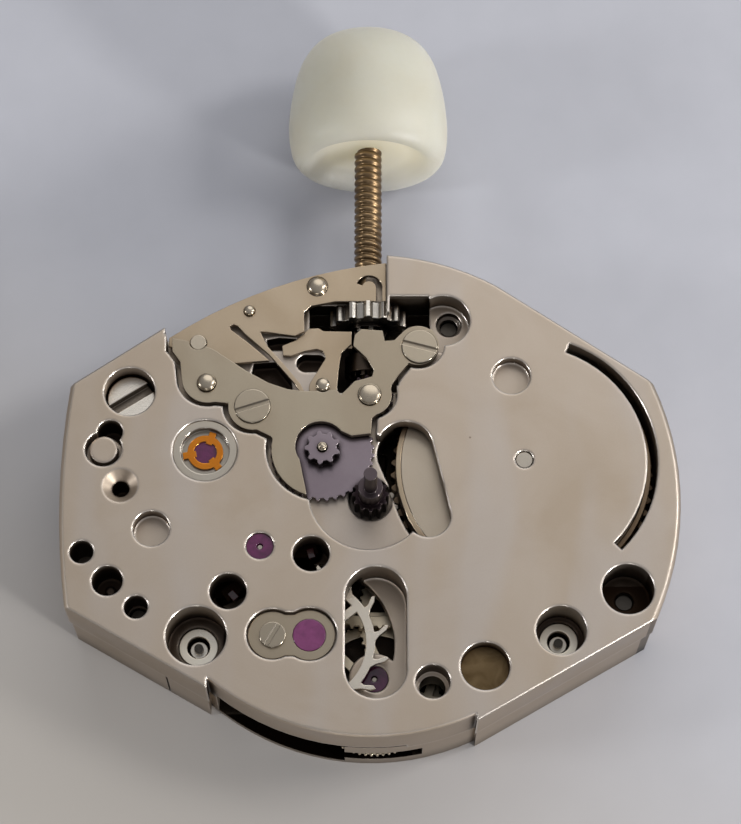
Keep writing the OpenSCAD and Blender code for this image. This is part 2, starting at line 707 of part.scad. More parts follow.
// Sheet over the setting lever, with the yoke spring's finger cut from it
module spring_plate() {
    color("#c7b491") slab(lever_z, lever_z - spring_plate_t) difference() {
        intersection() {
            outline(0.05);
            polygon([[-6.38, 9], [-6.38, 5.0], [-5.6, 4.75], [-4.7, 4.3], [-4.36, 4.42],
                [-3.2, 4.52], [-3.85, 5.1], [-4.42, 5.55], [-4.47, 5.68], [-4.36, 5.75],
                [-4.22, 5.7], [-3.93, 5.38], [-3.2, 4.72], [-2.37, 3.72], [-2.15, 3.3],
                [-2.22, 3.14], [-2.45, 3.05], [-2.42, 2.95], [-2.12, 3.01], [-1.98, 3.25],
                [-2.2, 3.72], [-2.7, 4.35], [-3.28, 5.02], [-3.5, 5.5],
                [-3.35, 5.5], [-2.9, 5.43], [-2.4, 5.36], [-2.1, 5.52], [-2.12, 6.17],
                [-1.9, 6.38], [-1.4, 6.48], [-1.1, 6.54], [0.49, 6.54], [0.49, 9]]);
        }
        // hooked slot over the lever's pin
        translate([-0.05, 7.0]) difference() {
            circle(0.43);
            circle(0.23);
            translate([-1, -1]) square([2, 1]);
            polygon([[0, 0], [-1, -0.1], [-1, 0.4]]);
        }
        translate([0.18, 6.3]) square([0.19, 0.71]);
        translate(cover_pins_at[1]) circle(0.27);
        translate(cover_pins_at[2]) circle(0.19);
        translate(lever_pin_at) circle(0.34);
    }
}

// Lever whose pin rides in the groove of the stem
module setting_lever() {
    groove_pin = [-0.45, lever_groove_y];
    color("#b9b2a4") {
        slab(yoke_floor + 0.02, lever_floor + 0.04) difference() {
            union() {
                capsule(lever_pin_at, 0.4, groove_pin, 0.17);
                capsule(lever_pin_at, 0.39, [-2.85, 6.2], 0.2);
            }
            translate(lever_pin_at) circle(0.2 + run);
        }
        disc(groove_pin, 0.1, lever_floor + 0.1, stem_z + 0.1);
    }
}

// Yoke that pushes the clutch along the stem
module yoke() {
    color("#c2ab86") {
        slab(yoke_z, yoke_z - yoke_t) difference() {
            union() {
                capsule(yoke_pin_at, 0.44, [-1.2, 4.6], 0.22);
                polygon([[-2.8, 5.08], [-2.77, 4.76], [-2.52, 4.74], [-2.1, 4.9], [-1.7, 4.98],
                    [-1.5, 4.9], [-1.42, 4.7], [-1.4, 4.4], [-1.0, 4.4], [-0.92, 4.85],
                    [-0.6, 5.14], [-0.6, 5.56], [-1.5, 5.58], [-1.66, 5.68], [-1.95, 5.66],
                    [-2.35, 5.28]]);
            }
            translate(yoke_pin_at) circle(0.17 + run);
        }
        translate([-0.72, 5.02, stem_z + 0.47]) cube([0.14, 0.12, 0.36]);
    }
}

module locating_pins() {
    color("#d8d2c4") {
        disc(cover_pins_at[0], 0.17, -0.3, -1.25);
        disc(cover_pins_at[0], 0.29, -0.02, -0.31);
        disc(cover_pins_at[1], 0.17, -0.3, -1.25);
        disc(cover_pins_at[1], 0.25, -0.24, -0.31);
        disc(cover_pins_at[2], 0.17, -0.25, -1.25);
    }
}

module lever_pivots() {
    color("#d8d2c4") {
        disc(yoke_pin_at, 0.17, -0.2, -1.25);
        disc(yoke_pin_at, 0.22, -0.16, cover_z - cover_t + 0.02);
        disc(lever_pin_at, 0.2, -0.35, -1.45);
        disc(lever_pin_at, 0.32, -0.32, yoke_floor + 0.04);
    }
}

module wheel_studs() {
    color("#d8d2c4") {
        disc(setting_at, 0.35, -0.05, cover_z - cover_t - 0.02);
        disc(setting_at, 0.2, cover_z - cover_t, works_floor);
        disc(minute_at, 0.14, 0.1, -1.25);
        disc(minute_at, 0.1, 0.15, 0);
    }
}

module setting_wheel() {
    color("#8d8791") translate([setting_at[0], setting_at[1], 0])
        slab(motion_z, motion_z - motion_t) difference() {
            teeth(setting_pr, setting_teeth, setting_phase);
            circle(0.2 + run);
        }
}

module minute_wheel() {
    color("#6c6570") translate([minute_at[0], minute_at[1], 0]) difference() {
        union() {
            slab(motion_z, motion_z - motion_t) teeth(minute_pr, minute_teeth, minute_phase);
            slab(0, motion_z - 0.05) teeth(0.51, minute_leaves, 22);
        }
        translate([0, 0, -2]) cylinder(r = 0.14 + run, h = 4);
    }
}

module cannon_pinion() {
    color("#4a4548") difference() {
        union() {
            slab(-0.12, well_floor + 0.04) teeth(cannon_pr, cannon_leaves, 0);
            disc(centre_at, hour_seat_r, hour_seat_h, -0.12);
            disc(centre_at, hand_seat_r, cannon_h, hour_seat_h);
        }
        disc(centre_at, arbor_r + fit, 0.07, -5);
    }
}

// Winding and setting

module winding_pinion() {
    color("#bdb6a8") translate([stem_x, 0, stem_z]) difference() {
        union() {
            translate([0, pinion_y1, 0]) rotate([90, 0, 0]) linear_extrude(pinion_y1 - pinion_y0)
                teeth(pinion_pr, pinion_teeth, 90);
            translate([0, pinion_y0 + 0.01, 0]) rotate([90, 0, 0]) linear_extrude(0.1)
                circle(0.62);
            for (i = [0:8]) rotate([0, i * 40, 0]) translate([0.4, pinion_y0 - 0.2, -0.07])
                cube([0.2, 0.2, 0.14]);
        }
        rotate([-90, 0, 0]) cylinder(r = 0.3 + run, h = 20);
    }
}

module clutch() {
    y0 = 4.35;
    color("#a9a294") translate([stem_x, 0, stem_z]) difference() {
        union() {
            translate([0, y0, 0]) rotate([-90, 0, 0]) cylinder(r = 0.74, h = 0.6);
            translate([0, y0 + 0.5, 0]) rotate([-90, 0, 0]) cylinder(r = 0.44, h = 0.5);
            translate([0, y0 + 0.85, 0]) rotate([-90, 0, 0]) cylinder(r = 0.62, h = 0.42);
            for (i = [0:8]) rotate([0, i * 40 + 20, 0])
                translate([0.4, y0 + 1.26, -0.05]) cube([0.2, 0.16, 0.1]);
            for (i = [0:11]) rotate([0, i * 30 + 15, 0])
                translate([0.38, y0 - 0.12, -0.06]) cube([0.24, 0.2, 0.12]);
        }
        translate([-0.21 - run, 0, -0.21 - run]) cube([0.42 + 2 * run, 12, 0.42 + 2 * run]);
    }
}

module stem() {
    color("#8f8a80") translate([stem_x, 0, stem_z]) {
        rotate([-90, 0, 0]) rotate_extrude() polygon([
            [0, 3.3], [0.12, 3.35], [0.14, 3.45], [0.14, 3.9], [0.2, 3.95], [0.2, 5.8], [0.3, 5.8],
            [0.3, pinion_y1 + 0.1], [stem_journal, pinion_y1 + 0.1],
            [stem_journal, lever_groove_y - 0.13], [0.24, lever_groove_y - 0.13], [0.24, lever_groove_y + 0.13],
            [stem_journal, lever_groove_y + 0.13], [stem_journal, end_r], [thread_r, end_r + 0.05],
            [thread_r, stem_end - 0.1], [thread_r - 0.1, stem_end], [0, stem_end],
        ]);
        translate([-0.21, 3.95, -0.21]) cube([0.42, 1.85, 0.42]);
    }
}

module stem_knob() {
    far_r = knob_r * 0.7;
    color("#e9e8d0") translate([stem_x, knob_start, stem_z]) rotate([-90, 0, 0]) difference() {
        rotate_extrude($fn = 96) polygon(concat(
            [[0, dish], [knob_r * 0.6, dish], [knob_r * 0.7, dish * 0.2]],
            [for (a = [-90:15:0]) [knob_r - 0.5 + 0.5 * cos(a), 0.85 + 0.85 * sin(a)]],
            [[knob_r, 1.6], [knob_r - 0.08, 2.4], [knob_r - 0.32, knob_len - 1.4]],
            [for (a = [0:15:90]) [far_r - 0.7 + 0.7 * cos(a), knob_len - 0.7 + 0.7 * sin(a)]],
            [[0, knob_len]]));
        translate([0, 0, -1]) cylinder(r = thread_r + fit, h = 1.1 + stem_end - knob_start);
    }
}

// Ratchet side of the winding

module crown_wheel() {
    step = 360 / crown_teeth;
    color("#b5afa3") translate([crown_at[0], crown_at[1], 0]) {
        slab(ratchet_z, ratchet_z - ratchet_t) difference() {
            teeth(crown_pr, crown_teeth, crown_phase);
            circle(1.0 + run);
        }
        slab(crown_rim_z - 0.23, ratchet_z) difference() {
            circle(crown_ring_out);
            circle(crown_ring_in);
        }
        slab(crown_rim_z, crown_rim_z - 0.25) intersection() {
            difference() {
                circle(crown_ring_out);
                circle(crown_ring_in);
            }
            union() for (i = [0:crown_teeth - 1]) rotate(90 + step * (i + 0.5))
                polygon([[0, 0], 3 * [cos(step * 0.2), sin(step * 0.2)],
                    3 * [cos(step * 0.2), -sin(step * 0.2)]]);
        }
    }
}

module crown_core() {
    color("#bfb9ac") difference() {
        union() {
            disc(crown_at, 1.0, ratchet_z + 0.03, ratchet_z - ratchet_t);
            disc(crown_at, 1.25, ratchet_z - ratchet_t, bridge_z);
        }
        disc(crown_at, shank_r + fit, 1, -9);
        disc(crown_at, head_r + 0.03, bridge_z + 0.3, -9);
    }
}

module ratchet_wheel() {
    color("#b5afa3") translate([barrel_at[0], barrel_at[1], 0]) difference() {
        slab(ratchet_z, ratchet_z - ratchet_t) difference() {
            teeth(ratchet_pr, ratchet_teeth);
            square(0.72 + 2 * fit, center = true);
        }
        slab(bridge_z + 0.3, -9) circle(head_r + 0.05);
        slab(ratchet_z - ratchet_t + 0.06, -9) difference() {
            circle(3.1);
            circle(1.1);
        }
    }
}

module ratchet_screw() {
    color("#6f7788")
        screw_down(barrel_at, bridge_z + 0.02, head_r, 0.26, shank_r, ratchet_z + 0.3, 40);
}

module winding_screws() {
    color("#6f7788") {
        screw_down(crown_at, bridge_z + 0.02, head_r, 0.26, shank_r, ratchet_z + 0.55, 100);
        screw_down(click_at, bridge_z + 0.02, 0.5, 0.2, 0.2, ratchet_z + 0.5, 10);
    }
}

module click_form(g = 0) {
    translate(click_at) circle(0.48 + g);
    capsule(click_at, 0.34 + g, click_beak, 0.11 + g);
}

module click() {
    color("#b5afa3") slab(ratchet_z, bridge_z + 0.24) difference() {
        click_form();
        translate(click_at) circle(0.2 + run);
    }
}

module click_spring() {
    color("#a7adb8") slab(ratchet_z - 0.02, bridge_z + 0.25) {
        difference() {
            translate([3.16, 6.66]) circle(0.24);
            translate([3.16, 6.66]) circle(0.1);
        }
        capsule([3.34, 6.6], 0.07, click_at + [-0.2, 0.52], 0.05);
    }
}

// Barrel

module barrel_drum() {
    color("#cdbb86") translate([barrel_at[0], barrel_at[1], 0]) difference() {
        union() {
            slab(barrel_z, barrel_floor) circle(drum_r);
            slab(barrel_floor + teeth_h, barrel_floor) teeth(barrel_pr, barrel_teeth);
        }
        slab(1, barrel_floor + 0.2) circle(drum_r - drum_wall);
        slab(1, -5) circle(arbor_r * 2 + run);
    }
}

module barrel_lid() {
    color("#d8d2c2") translate([barrel_at[0], barrel_at[1], 0])
        slab(barrel_z, barrel_z - 0.17) difference() {
            circle(drum_r - drum_wall - fit);
            circle(arbor_r * 2 + run);
        }
}

module barrel_arbor() {
    color("#9f9a90") translate([barrel_at[0], barrel_at[1], 0]) difference() {
        union() {
            slab(-0.05, -roof_t - 0.1) circle(arbor_r * 1.5);
            slab(-roof_t - 0.05, ratchet_z + 0.03) circle(arbor_r * 2);
            slab(barrel_z - 0.2, barrel_floor + 0.22) circle(0.75);
            slab(ratchet_z + 0.04, bridge_z + 0.29) square(0.72, center = true);
        }
        slab(ratchet_z + 0.31, -9) circle(shank_r + fit);
    }
}

hairspring_end = 200;

// A flat spiral band from an inner to an outer radius
module spiral(inner, outer, turns, band, start = 0) {
    steps = turns * 30;
    polygon(concat(
        [for (i = [0:steps]) let (a = start + i * 12, r = inner + (outer - inner) * i / steps)
            (r + band / 2) * [cos(a), sin(a)]],
        [for (i = [steps:-1:0]) let (a = start + i * 12, r = inner + (outer - inner) * i / steps)
            (r - band / 2) * [cos(a), sin(a)]]));
}

module mainspring() {
    color("#8a94a6") translate([barrel_at[0], barrel_at[1], 0])
        slab(barrel_z - 0.22, barrel_floor + 0.25)
            spiral(0.86, drum_r - drum_wall - 0.09, 8, 0.12);
}

// Going train

module centre_wheel() {
    color("#d5bd79") spoked(centre_at, centre_pr, centre_teeth, 0, 5, centre_z, wheel_t);
}

module centre_arbor() {
    color("#b7b2a8") {
        disc(centre_at, arbor_r, 0.05, centre_z - wheel_t - 0.03);
        disc(centre_at, 0.13, 0, centre_z - wheel_t - 0.45);
        slab(barrel_floor + teeth_h + 0.02, centre_z)
            teeth(centre_pinion_pr, centre_leaves, centre_pinion_phase);
    }
}

module third_wheel() {
    color("#d5bd79") spoked(third_at, third_pr, third_teeth, 0, 5, third_z, wheel_t);
}

module third_arbor() {
    color("#b7b2a8") arbor(third_at, third_pinion_pr, train_leaves, third_pinion_phase,
        centre_z + 0.06, third_z, -plate_t - 0.05, third_z - wheel_t - 0.05);
}

module fourth_wheel() {
    color("#d5bd79") spoked(fourth_at, fourth_pr, fourth_teeth, 0, 4, fourth_z, wheel_t);
}

module fourth_arbor() {
    color("#b7b2a8") arbor(fourth_at, fourth_pinion_pr, train_leaves, fourth_pinion_phase,
        third_z + 0.06, fourth_z, jewel_roof - jewel_t - 0.03, fourth_floor - 0.05);
}

module escape_wheel() {
    step = 360 / escape_teeth;
    color("#cfc9bb") translate([escape_at[0], escape_at[1], 0])
        slab(escape_z, escape_z - escape_t) difference() {
            union() {
                difference() {
                    union() {
                        circle(escape_r * 0.81);
                        for (i = [0:escape_teeth - 1]) rotate(step * (i + 0.35)) polygon([
                            escape_r * 0.79 * [cos(9), -sin(9)], escape_r * 0.86 * [cos(3), -sin(3)],
                            escape_r * 0.96 * [cos(1), sin(1)], escape_r * [cos(4), sin(4)],
                            escape_r * 0.96 * [cos(5), sin(5)],
                            escape_r * 0.86 * [cos(1), sin(1)], escape_r * 0.79 * [cos(1), sin(1)],
                        ]);
                    }
                    circle(escape_r * 0.7);
                }
                circle(0.45);
                for (i = [0:3]) rotate(90 * i + 38) translate([0.35, -0.13])
                    square([escape_r * 0.74 - 0.35, 0.26]);
            }
            circle(arbor_r + fit);
        }
}

module escape_arbor() {
    color("#b7b2a8") arbor(escape_at, escape_pinion_pr, escape_leaves, escape_pinion_phase,
        fourth_z + 0.1, fourth_floor - 0.04, -0.75, fourth_floor - 0.05);
}

// Escapement

module at_pallet() {
    translate([pallet_at[0], pallet_at[1], 0]) rotate(toward(pallet_at, balance_at)) children();
}

// Corner of a pallet stone, in the fork's own frame
stone_angle = 30;
stone_x = (escape_r + 0.18) * cos(stone_angle) - apart(pallet_at, escape_at);
stone_y = (escape_r + 0.18) * sin(stone_angle);

module pallet_fork() {
    color("#d0cbc0") at_pallet() slab(escape_z, escape_z - escape_t) difference() {
        union() {
            circle(0.42);
            polygon([[0.3, 0.2], [fork_len - 0.4, 0.13], [fork_len - 0.15, 0.34],
                [fork_len + 0.12, 0.3], [fork_len + 0.12, -0.3], [fork_len - 0.15, -0.34],
                [fork_len - 0.4, -0.13], [0.3, -0.2]]);
            for (s = [-1, 1]) polygon([[0.2, s * -0.1], [-0.3, s * -0.1],
                [stone_x + 0.28, s * 0.85], [stone_x + 0.1, s * 1.2], [stone_x + 0.05, s * 1.6],
                [stone_x + 0.45, s * 1.66], [stone_x + 0.6, s * 0.85], [0.2, s * 0.3]]);
        }
        circle(arbor_r + fit);
        translate([fork_len - 0.16, -0.1]) square([0.5, 0.2]);
        for (s = [-1, 1]) translate([stone_x, s * stone_y]) rotate(s * 12)
            translate([-0.3, -0.11 - fit]) square([0.61, 0.22 + 2 * fit]);
    }
}

module pallet_stones() {
    color("#b0234b") at_pallet() slab(escape_z + 0.03, escape_z - escape_t - 0.03)
        for (s = [-1, 1]) translate([stone_x, s * stone_y]) rotate(s * 12)
            translate([0, -0.11]) square([0.3, 0.22]);
}

module pallet_arbor() {
    color("#b7b2a8") {
        disc(pallet_at, arbor_r, -0.4, pallet_recess - 0.02);
        disc(pallet_at, pivot_r, -0.15, pallet_recess - jewel_t + 0.02);
    }
}

module balance_wheel() {
    color("#d9c27c") translate([balance_at[0], balance_at[1], 0])
        slab(balance_z, balance_z - balance_h) difference() {
            union() {
                difference() {
                    circle(balance_r);
                    circle(balance_r - balance_rim);
                }
                circle(0.55);
                for (i = [0:2]) rotate(120 * i + 30) translate([0.4, -0.2])
                    square([balance_r - balance_rim - 0.3, 0.4]);
            }
            circle(arbor_r + fit);
        }
}

module balance_staff() {
    color("#b7b2a8") {
        disc(balance_at, arbor_r, -shock_depth - 0.06, cock_z + 0.02);
        disc(balance_at, pivot_r, -shock_pivot, bridge_z + shock_pivot);
        disc(balance_at, 0.42, hairspring_z + 0.05, hairspring_z - hairspring_h - 0.03);
    }
}

module impulse_roller() {
    to_fork = toward(balance_at, pallet_at);
    pin_at = balance_at + pin_orbit * [cos(to_fork), sin(to_fork)];
    color("#c9c4b8") difference() {
        union() {
            disc(balance_at, roller_r, escape_z - escape_t - 0.12, escape_z - escape_t - 0.28);
            disc(balance_at, 0.4, escape_z + 0.02, escape_z - escape_t - 0.13);
        }
        disc(balance_at, arbor_r + fit, 1, -5);
        disc(pin_at, 0.075 + fit, 1, -5);
    }
    color("#b0234b") disc(pin_at, 0.075, escape_z - escape_t - 0.02, escape_z - escape_t - 0.28);
}

module hairspring() {
    color("#5c6a94") translate([balance_at[0], balance_at[1], 0])
        slab(hairspring_z, hairspring_z - hairspring_h)
            spiral(0.5, hairspring_r, hairspring_turns, 0.05, hairspring_end);
}

// Stud in the cock that holds the hairspring's outer end
module hairspring_stud() {
    color("#b7b2a8") difference() {
        stud_place() slab(hairspring_z + 0.02, cock_z - 0.4)
            translate([hairspring_r - 0.15, -0.02]) square([0.3, 0.35]);
        stud_place() slab(hairspring_z + 0.01, hairspring_z - hairspring_h - 0.01)
            translate([hairspring_r - 0.04, -1]) square([0.08, 2]);
    }
}

module stud_place() {
    translate([balance_at[0], balance_at[1], 0]) rotate(hairspring_end) children();
}

// Shock settings: the dial side one, and the cock side one turned over
module shock_places() {
    translate([balance_at[0], balance_at[1], -0.05]) children();
    translate([balance_at[0], balance_at[1], bridge_z + 0.05]) mirror([0, 0, 1]) children();
}

module shock_blocks() {
    color("#ddd3b8") shock_places() difference() {
        translate([0, 0, 0.05 - shock_depth]) cylinder(r = shock_r, h = shock_depth - 0.05);
        translate([0, 0, -0.24]) cylinder(r = 0.76, h = 1);
        translate([0, 0, -0.4]) cylinder(r = 0.45, h = 1);
        translate([0, 0, -1]) cylinder(r = pivot_r + 0.03, h = 1);
    }
}

module shock_springs() {
    color("#d8902c") shock_places() translate([0, 0, -0.2]) linear_extrude(0.05) {
        difference() {
            circle(0.56);
            circle(0.36);
        }
        for (i = [0:2]) rotate(120 * i + 70) {
            translate([0.48, -0.11]) square([0.22, 0.22]);
            translate([0.28, -0.1]) square([0.2, 0.2]);
        }
    }
}

module shock_cap_jewels() {
    color("#c2406a") shock_places() {
        translate([0, 0, -0.3]) cylinder(r = 0.44, h = 0.09);
        difference() {
            translate([0, 0, -0.4]) cylinder(r = 0.44, h = 0.09);
            translate([0, 0, -1]) cylinder(r = pivot_r + 0.02, h = 2);
        }
    }
}

// Regulator round the cock's shock setting, with its curb pins
module regulator_index() {
    coil = hairspring_r - (hairspring_r - 0.5) * 140 / 360 / hairspring_turns;
    color("#c9c4b8") {
        slab(bridge_z + 0.12, bridge_z) {
            translate(balance_at) difference() {
                union() {
                    circle(shock_r + 0.32);
                    rotate(150) translate([1.1, -0.12]) square([1.75, 0.24]);
                    rotate(60) translate([1.1, -0.25]) square([0.8, 0.5]);
                }
                circle(shock_r + run);
            }
        }
        // curb pins on both sides of the outer coil
        for (s = [-1, 1]) disc(balance_at + (coil + s * 0.085) * [cos(60), sin(60)], 0.035,
            hairspring_z - hairspring_h + 0.05, bridge_z + 0.1);
    }
}

// Bridges

module pallet_bridge_form(g = 0) {
    capsule(pallet_screws_at[0], 0.55 + g, pallet_at, 0.6 + g);
    capsule(pallet_screws_at[1], 0.5 + g, pallet_at, 0.6 + g);
}

module pallet_bridge() {
    color("#c9c2b4") difference() {
        slab(pallet_recess, centre_z + 0.07) pallet_bridge_form();
        disc(pallet_at, jewel_r + fit, pallet_recess - 0.04, -9);
        disc(pallet_at, arbor_r + 0.05, 1, -9);
        for (p = pallet_screws_at) {
            disc(p, 0.16 + fit, 1, -9);
            disc(p, 0.34, centre_z + 0.3, -9);
        }
    }
}

module train_bridge() {
    color("#c9c2b4") difference() {
        slab(-plate_t, bridge_z) difference() {
            outline(edge_gap);
            barrel_bridge_field(edge_gap);
            balance_field();
            cock_field(edge_gap);
            cock_arm(edge_gap);
            translate([-12, -1.4]) square([8.2, 12]);
        }
        train_rooms();
        // opening in the edge, where the fourth wheel shows
        slab(1, bridge_z + 0.2) foot_strip(-4.75, -0.8, 1.0);
        slab(1, -plate_t - 0.06) foot_strip(-1.5, 1.1, 0.3);
        slab(fourth_z + 0.11, fourth_floor - 0.53) foot_strip(-1.5, 1.6, 0.95);
        disc(escape_at, escape_r + room_gap, -plate_t + 1, -plate_t - 0.15);
        slab(-plate_t + 1, pallet_recess - 2) pallet_bridge_form(0.2);
        for (p = [centre_at, third_at, fourth_at, escape_at]) {
            disc(p, pivot_r + 0.08, 1, -9);
            disc(p, 0.32, bridge_z + 0.3, -9);
        }
        disc(centre_at, jewel_r + fit, 1, centre_z - wheel_t - 0.08 - jewel_t);
        disc(third_at, jewel_r + fit, 1, third_z - wheel_t - 0.08 - jewel_t);
        disc(fourth_at, jewel_r + fit, 1, fourth_floor - 0.08 - jewel_t);
        disc(escape_at, jewel_r + fit, 1, fourth_floor - 0.08 - jewel_t);
        for (p = tube_at) {
            disc(p, shank_r + fit, 1, -9);
            disc(p, head_r + 0.03, bridge_z + head_h + 0.04, -9);
        }
        for (p = tube_at) disc(p, tube_r + fit, 1, -2.27);
    }
}

module barrel_bridge() {
    color("#c9c2b4") difference() {
        slab(-plate_t, bridge_z) difference() {
            intersection() {
                outline(edge_gap);
                barrel_bridge_field();
            }
            balance_field();
        }
        train_rooms();
        disc(barrel_at, arbor_r * 2 + run, 1, -9);
        disc(barrel_at, ratchet_room_r, ratchet_z + 0.04, -9);
        // crown wheel, with a groove for its ring of face teeth
        disc(crown_at, crown_room_r, ratchet_z + 0.04, -9);
        difference() {
            disc(crown_at, crown_ring_out + 0.07, crown_rim_z + 0.06, -9);
            disc(crown_at, crown_ring_in - 0.07, 0, -10);
        }
        disc(crown_at, shank_r + fit, 0, -9);
        // winding pinion, clutch and stem
        slab(1, stem_z - pinion_r - 0.06) translate([-1.95, 5.62]) square([3.83, 1.0]);
        slab(1, clutch_floor) translate([-1.05, 3.55]) square([1.93, 2.5]);
        stem_bore();
        slab(ratchet_z + 0.03, -9) {
            // room for the click to lift
            translate(click_at) circle(0.6);
            capsule(click_at, 0.42, click_at + 1.17 * [cos(click_rest + 6), sin(click_rest + 6)],
                0.32);
            capsule([3.16, 6.66], 0.3, click_at + [-0.15, 0.4], 0.3);
        }
        disc(click_at, 0.2 + fit, 1, -9);
        for (p = barrel_screws_at) {
            disc(p, shank_r + fit, 1, -9);
            disc(p, head_r + 0.03, bridge_z + head_h + 0.04, -9);
        }
    }
}

module cock_arm(g = 0) {
    capsule([-7.3, -3.3], 1.2 + g, balance_at, 1.45 + g);
}

module balance_cock() {
    color("#c9c2b4") difference() {
        union() {
            slab(-plate_t, bridge_z) difference() {
                intersection() {
                    outline(edge_gap);
                    cock_field();
                }
                balance_field();
            }
            slab(cock_z, bridge_z + 0.14) intersection() {
                outline(edge_gap);
                cock_arm();
            }
        }
        disc(balance_at, shock_r + fit, bridge_z + shock_depth, -9);
        disc(balance_at, arbor_r + 0.1, 1, -9);
        stud_place() slab(1, -9) translate([hairspring_r - 0.15 - fit, -0.02 - fit])
            square([0.3 + 2 * fit, 0.35 + 2 * fit]);
        disc(cock_screw_at, shank_r + fit, 1, -9);
        disc(cock_screw_at, head_r + 0.03, bridge_z + head_h + 0.04, -9);
    }
}

module bridge_screws() {
    color("#7f8798") {
        for (p = concat(barrel_screws_at, [cock_screw_at]))
            screw_down(p, bridge_z + 0.02, head_r, head_h, shank_r, p[0] > 7 ? -1.6 : -1.3,
                37 * p[0]);
        for (p = tube_at) {
            screw_down(p, bridge_z + 0.02, head_r, head_h, shank_r, -1.75, 37 * p[0]);
            disc(p, 0.14, -1.5, -1.8);
        }
        for (p = pallet_screws_at)
            screw_down(p, centre_z + 0.08, 0.32, 0.2, 0.16, -1.05, 37 * p[0]);
    }
}

module steady_tubes() {
    color("#c8ab5c") for (p = tube_at) difference() {
        disc(p, tube_r, jewel_roof - 0.1, -2.26);
        disc(p, shank_r + 0.08, 1, -9);
    }
}

module bridge_jewels() {
    color("#c2406a") {
        ring_jewel(third_at, jewel_r, third_z - wheel_t - 0.07, jewel_t);
        ring_jewel(fourth_at, jewel_r, fourth_floor - 0.07, jewel_t);
        ring_jewel(escape_at, jewel_r, fourth_floor - 0.07, jewel_t);
        ring_jewel(pallet_at, jewel_r, pallet_recess - 0.05, jewel_t);
        difference() {
            disc(centre_at, jewel_r, centre_z - wheel_t - 0.07, centre_z - wheel_t - 0.3);
            disc(centre_at, 0.13 + run, 1, -9);
        }
    }
}

module plate_jewels() {
    color("#c2406a") {
        ring_jewel(pallet_at, jewel_r, -0.08, jewel_t);
        ring_jewel(escape_at, jewel_r, -0.44, jewel_t);
        ring_jewel(fourth_at, jewel_r, jewel_roof - 0.01, jewel_t - 0.02);
        ring_jewel(third_at, jewel_r, -plate_t + jewel_t + 0.04, jewel_t);
    }
}

module cap_form(g = 0) {
    translate(cap_screw_at) circle(0.74 + g);
    translate(cap_jewel_at) circle(0.78 + g);
    translate([cap_screw_at[0], cap_screw_at[1] - 0.64 - g])
        square([cap_jewel_at[0] - cap_screw_at[0], 1.28 + 2 * g]);
}

module escape_cap_plate() {
    color("#d8d3c6") difference() {
        slab(-0.14, -0.29) cap_form();
        disc(cap_screw_at, 0.18, 1, -9);
        disc(cap_jewel_at, 0.5 + fit, 1, -9);
    }
}

module escape_cap_jewel() {
    color("#c2406a") disc(cap_jewel_at, 0.5, -0.12, -0.29);
}

module escape_cap_screw() {
    color("#d8d3c6") screw_up(cap_screw_at, -0.04, 0.4, 0.09, 0.17, -0.29, 60);
}

module brass_plug() {
    color("#c9b078") disc([3.47, -5.5], 0.75 - fit, -0.5, -0.71);
}

module case_screw() {
    color("#d6d0c2") screw_up(case_screw_at, -0.66, 0.74, 0.42, shank_r, -1.7, 33, 0.36, 0.75);
}

main_plate();
keyless_cover();
cover_screws();
spring_plate();
setting_lever();
yoke();
locating_pins();
lever_pivots();
wheel_studs();
setting_wheel();
minute_wheel();
cannon_pinion();
winding_pinion();
clutch();
stem();
stem_knob();
shock_blocks();
shock_springs();
shock_cap_jewels();
escape_cap_plate();
escape_cap_jewel();
escape_cap_screw();
plate_jewels();
brass_plug();
case_screw();
steady_tubes();
barrel_drum();
barrel_lid();
barrel_arbor();
mainspring();
centre_wheel();
centre_arbor();
third_wheel();
third_arbor();
fourth_wheel();
fourth_arbor();
escape_wheel();
escape_arbor();
pallet_fork();
pallet_stones();
pallet_arbor();
balance_wheel();
balance_staff();
impulse_roller();
hairspring();
hairspring_stud();
regulator_index();
pallet_bridge();
train_bridge();
barrel_bridge();
balance_cock();
bridge_screws();
bridge_jewels();
crown_wheel();
crown_core();
ratchet_wheel();
ratchet_screw();
click();
click_spring();
winding_screws();
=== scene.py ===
import bpy, math
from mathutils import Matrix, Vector, noise


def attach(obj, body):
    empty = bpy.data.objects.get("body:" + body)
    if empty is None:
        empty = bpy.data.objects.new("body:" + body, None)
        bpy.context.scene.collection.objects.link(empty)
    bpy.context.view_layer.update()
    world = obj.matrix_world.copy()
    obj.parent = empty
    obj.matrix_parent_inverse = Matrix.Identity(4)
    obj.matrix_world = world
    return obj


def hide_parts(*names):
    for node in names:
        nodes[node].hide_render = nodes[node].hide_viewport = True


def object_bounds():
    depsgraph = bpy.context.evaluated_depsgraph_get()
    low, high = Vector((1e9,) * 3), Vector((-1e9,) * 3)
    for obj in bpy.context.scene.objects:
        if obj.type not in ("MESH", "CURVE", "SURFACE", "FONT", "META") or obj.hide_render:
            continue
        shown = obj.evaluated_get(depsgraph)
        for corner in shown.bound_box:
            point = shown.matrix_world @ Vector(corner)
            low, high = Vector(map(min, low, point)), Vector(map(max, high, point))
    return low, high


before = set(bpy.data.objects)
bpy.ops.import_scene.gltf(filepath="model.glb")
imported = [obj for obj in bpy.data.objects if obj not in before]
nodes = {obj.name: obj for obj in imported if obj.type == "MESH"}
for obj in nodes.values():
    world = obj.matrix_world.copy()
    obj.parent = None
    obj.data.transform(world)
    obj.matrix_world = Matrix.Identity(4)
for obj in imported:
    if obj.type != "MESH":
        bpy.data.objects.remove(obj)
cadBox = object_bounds()
mm = 0.001
print("frame loaded with", len(nodes), "nodes")


# helpers for node trees

def makeNode(tree, kind, place, **settings):
    node = tree.nodes.new(kind)
    node.location = place
    for key, value in settings.items():
        setattr(node, key, value)
    return node


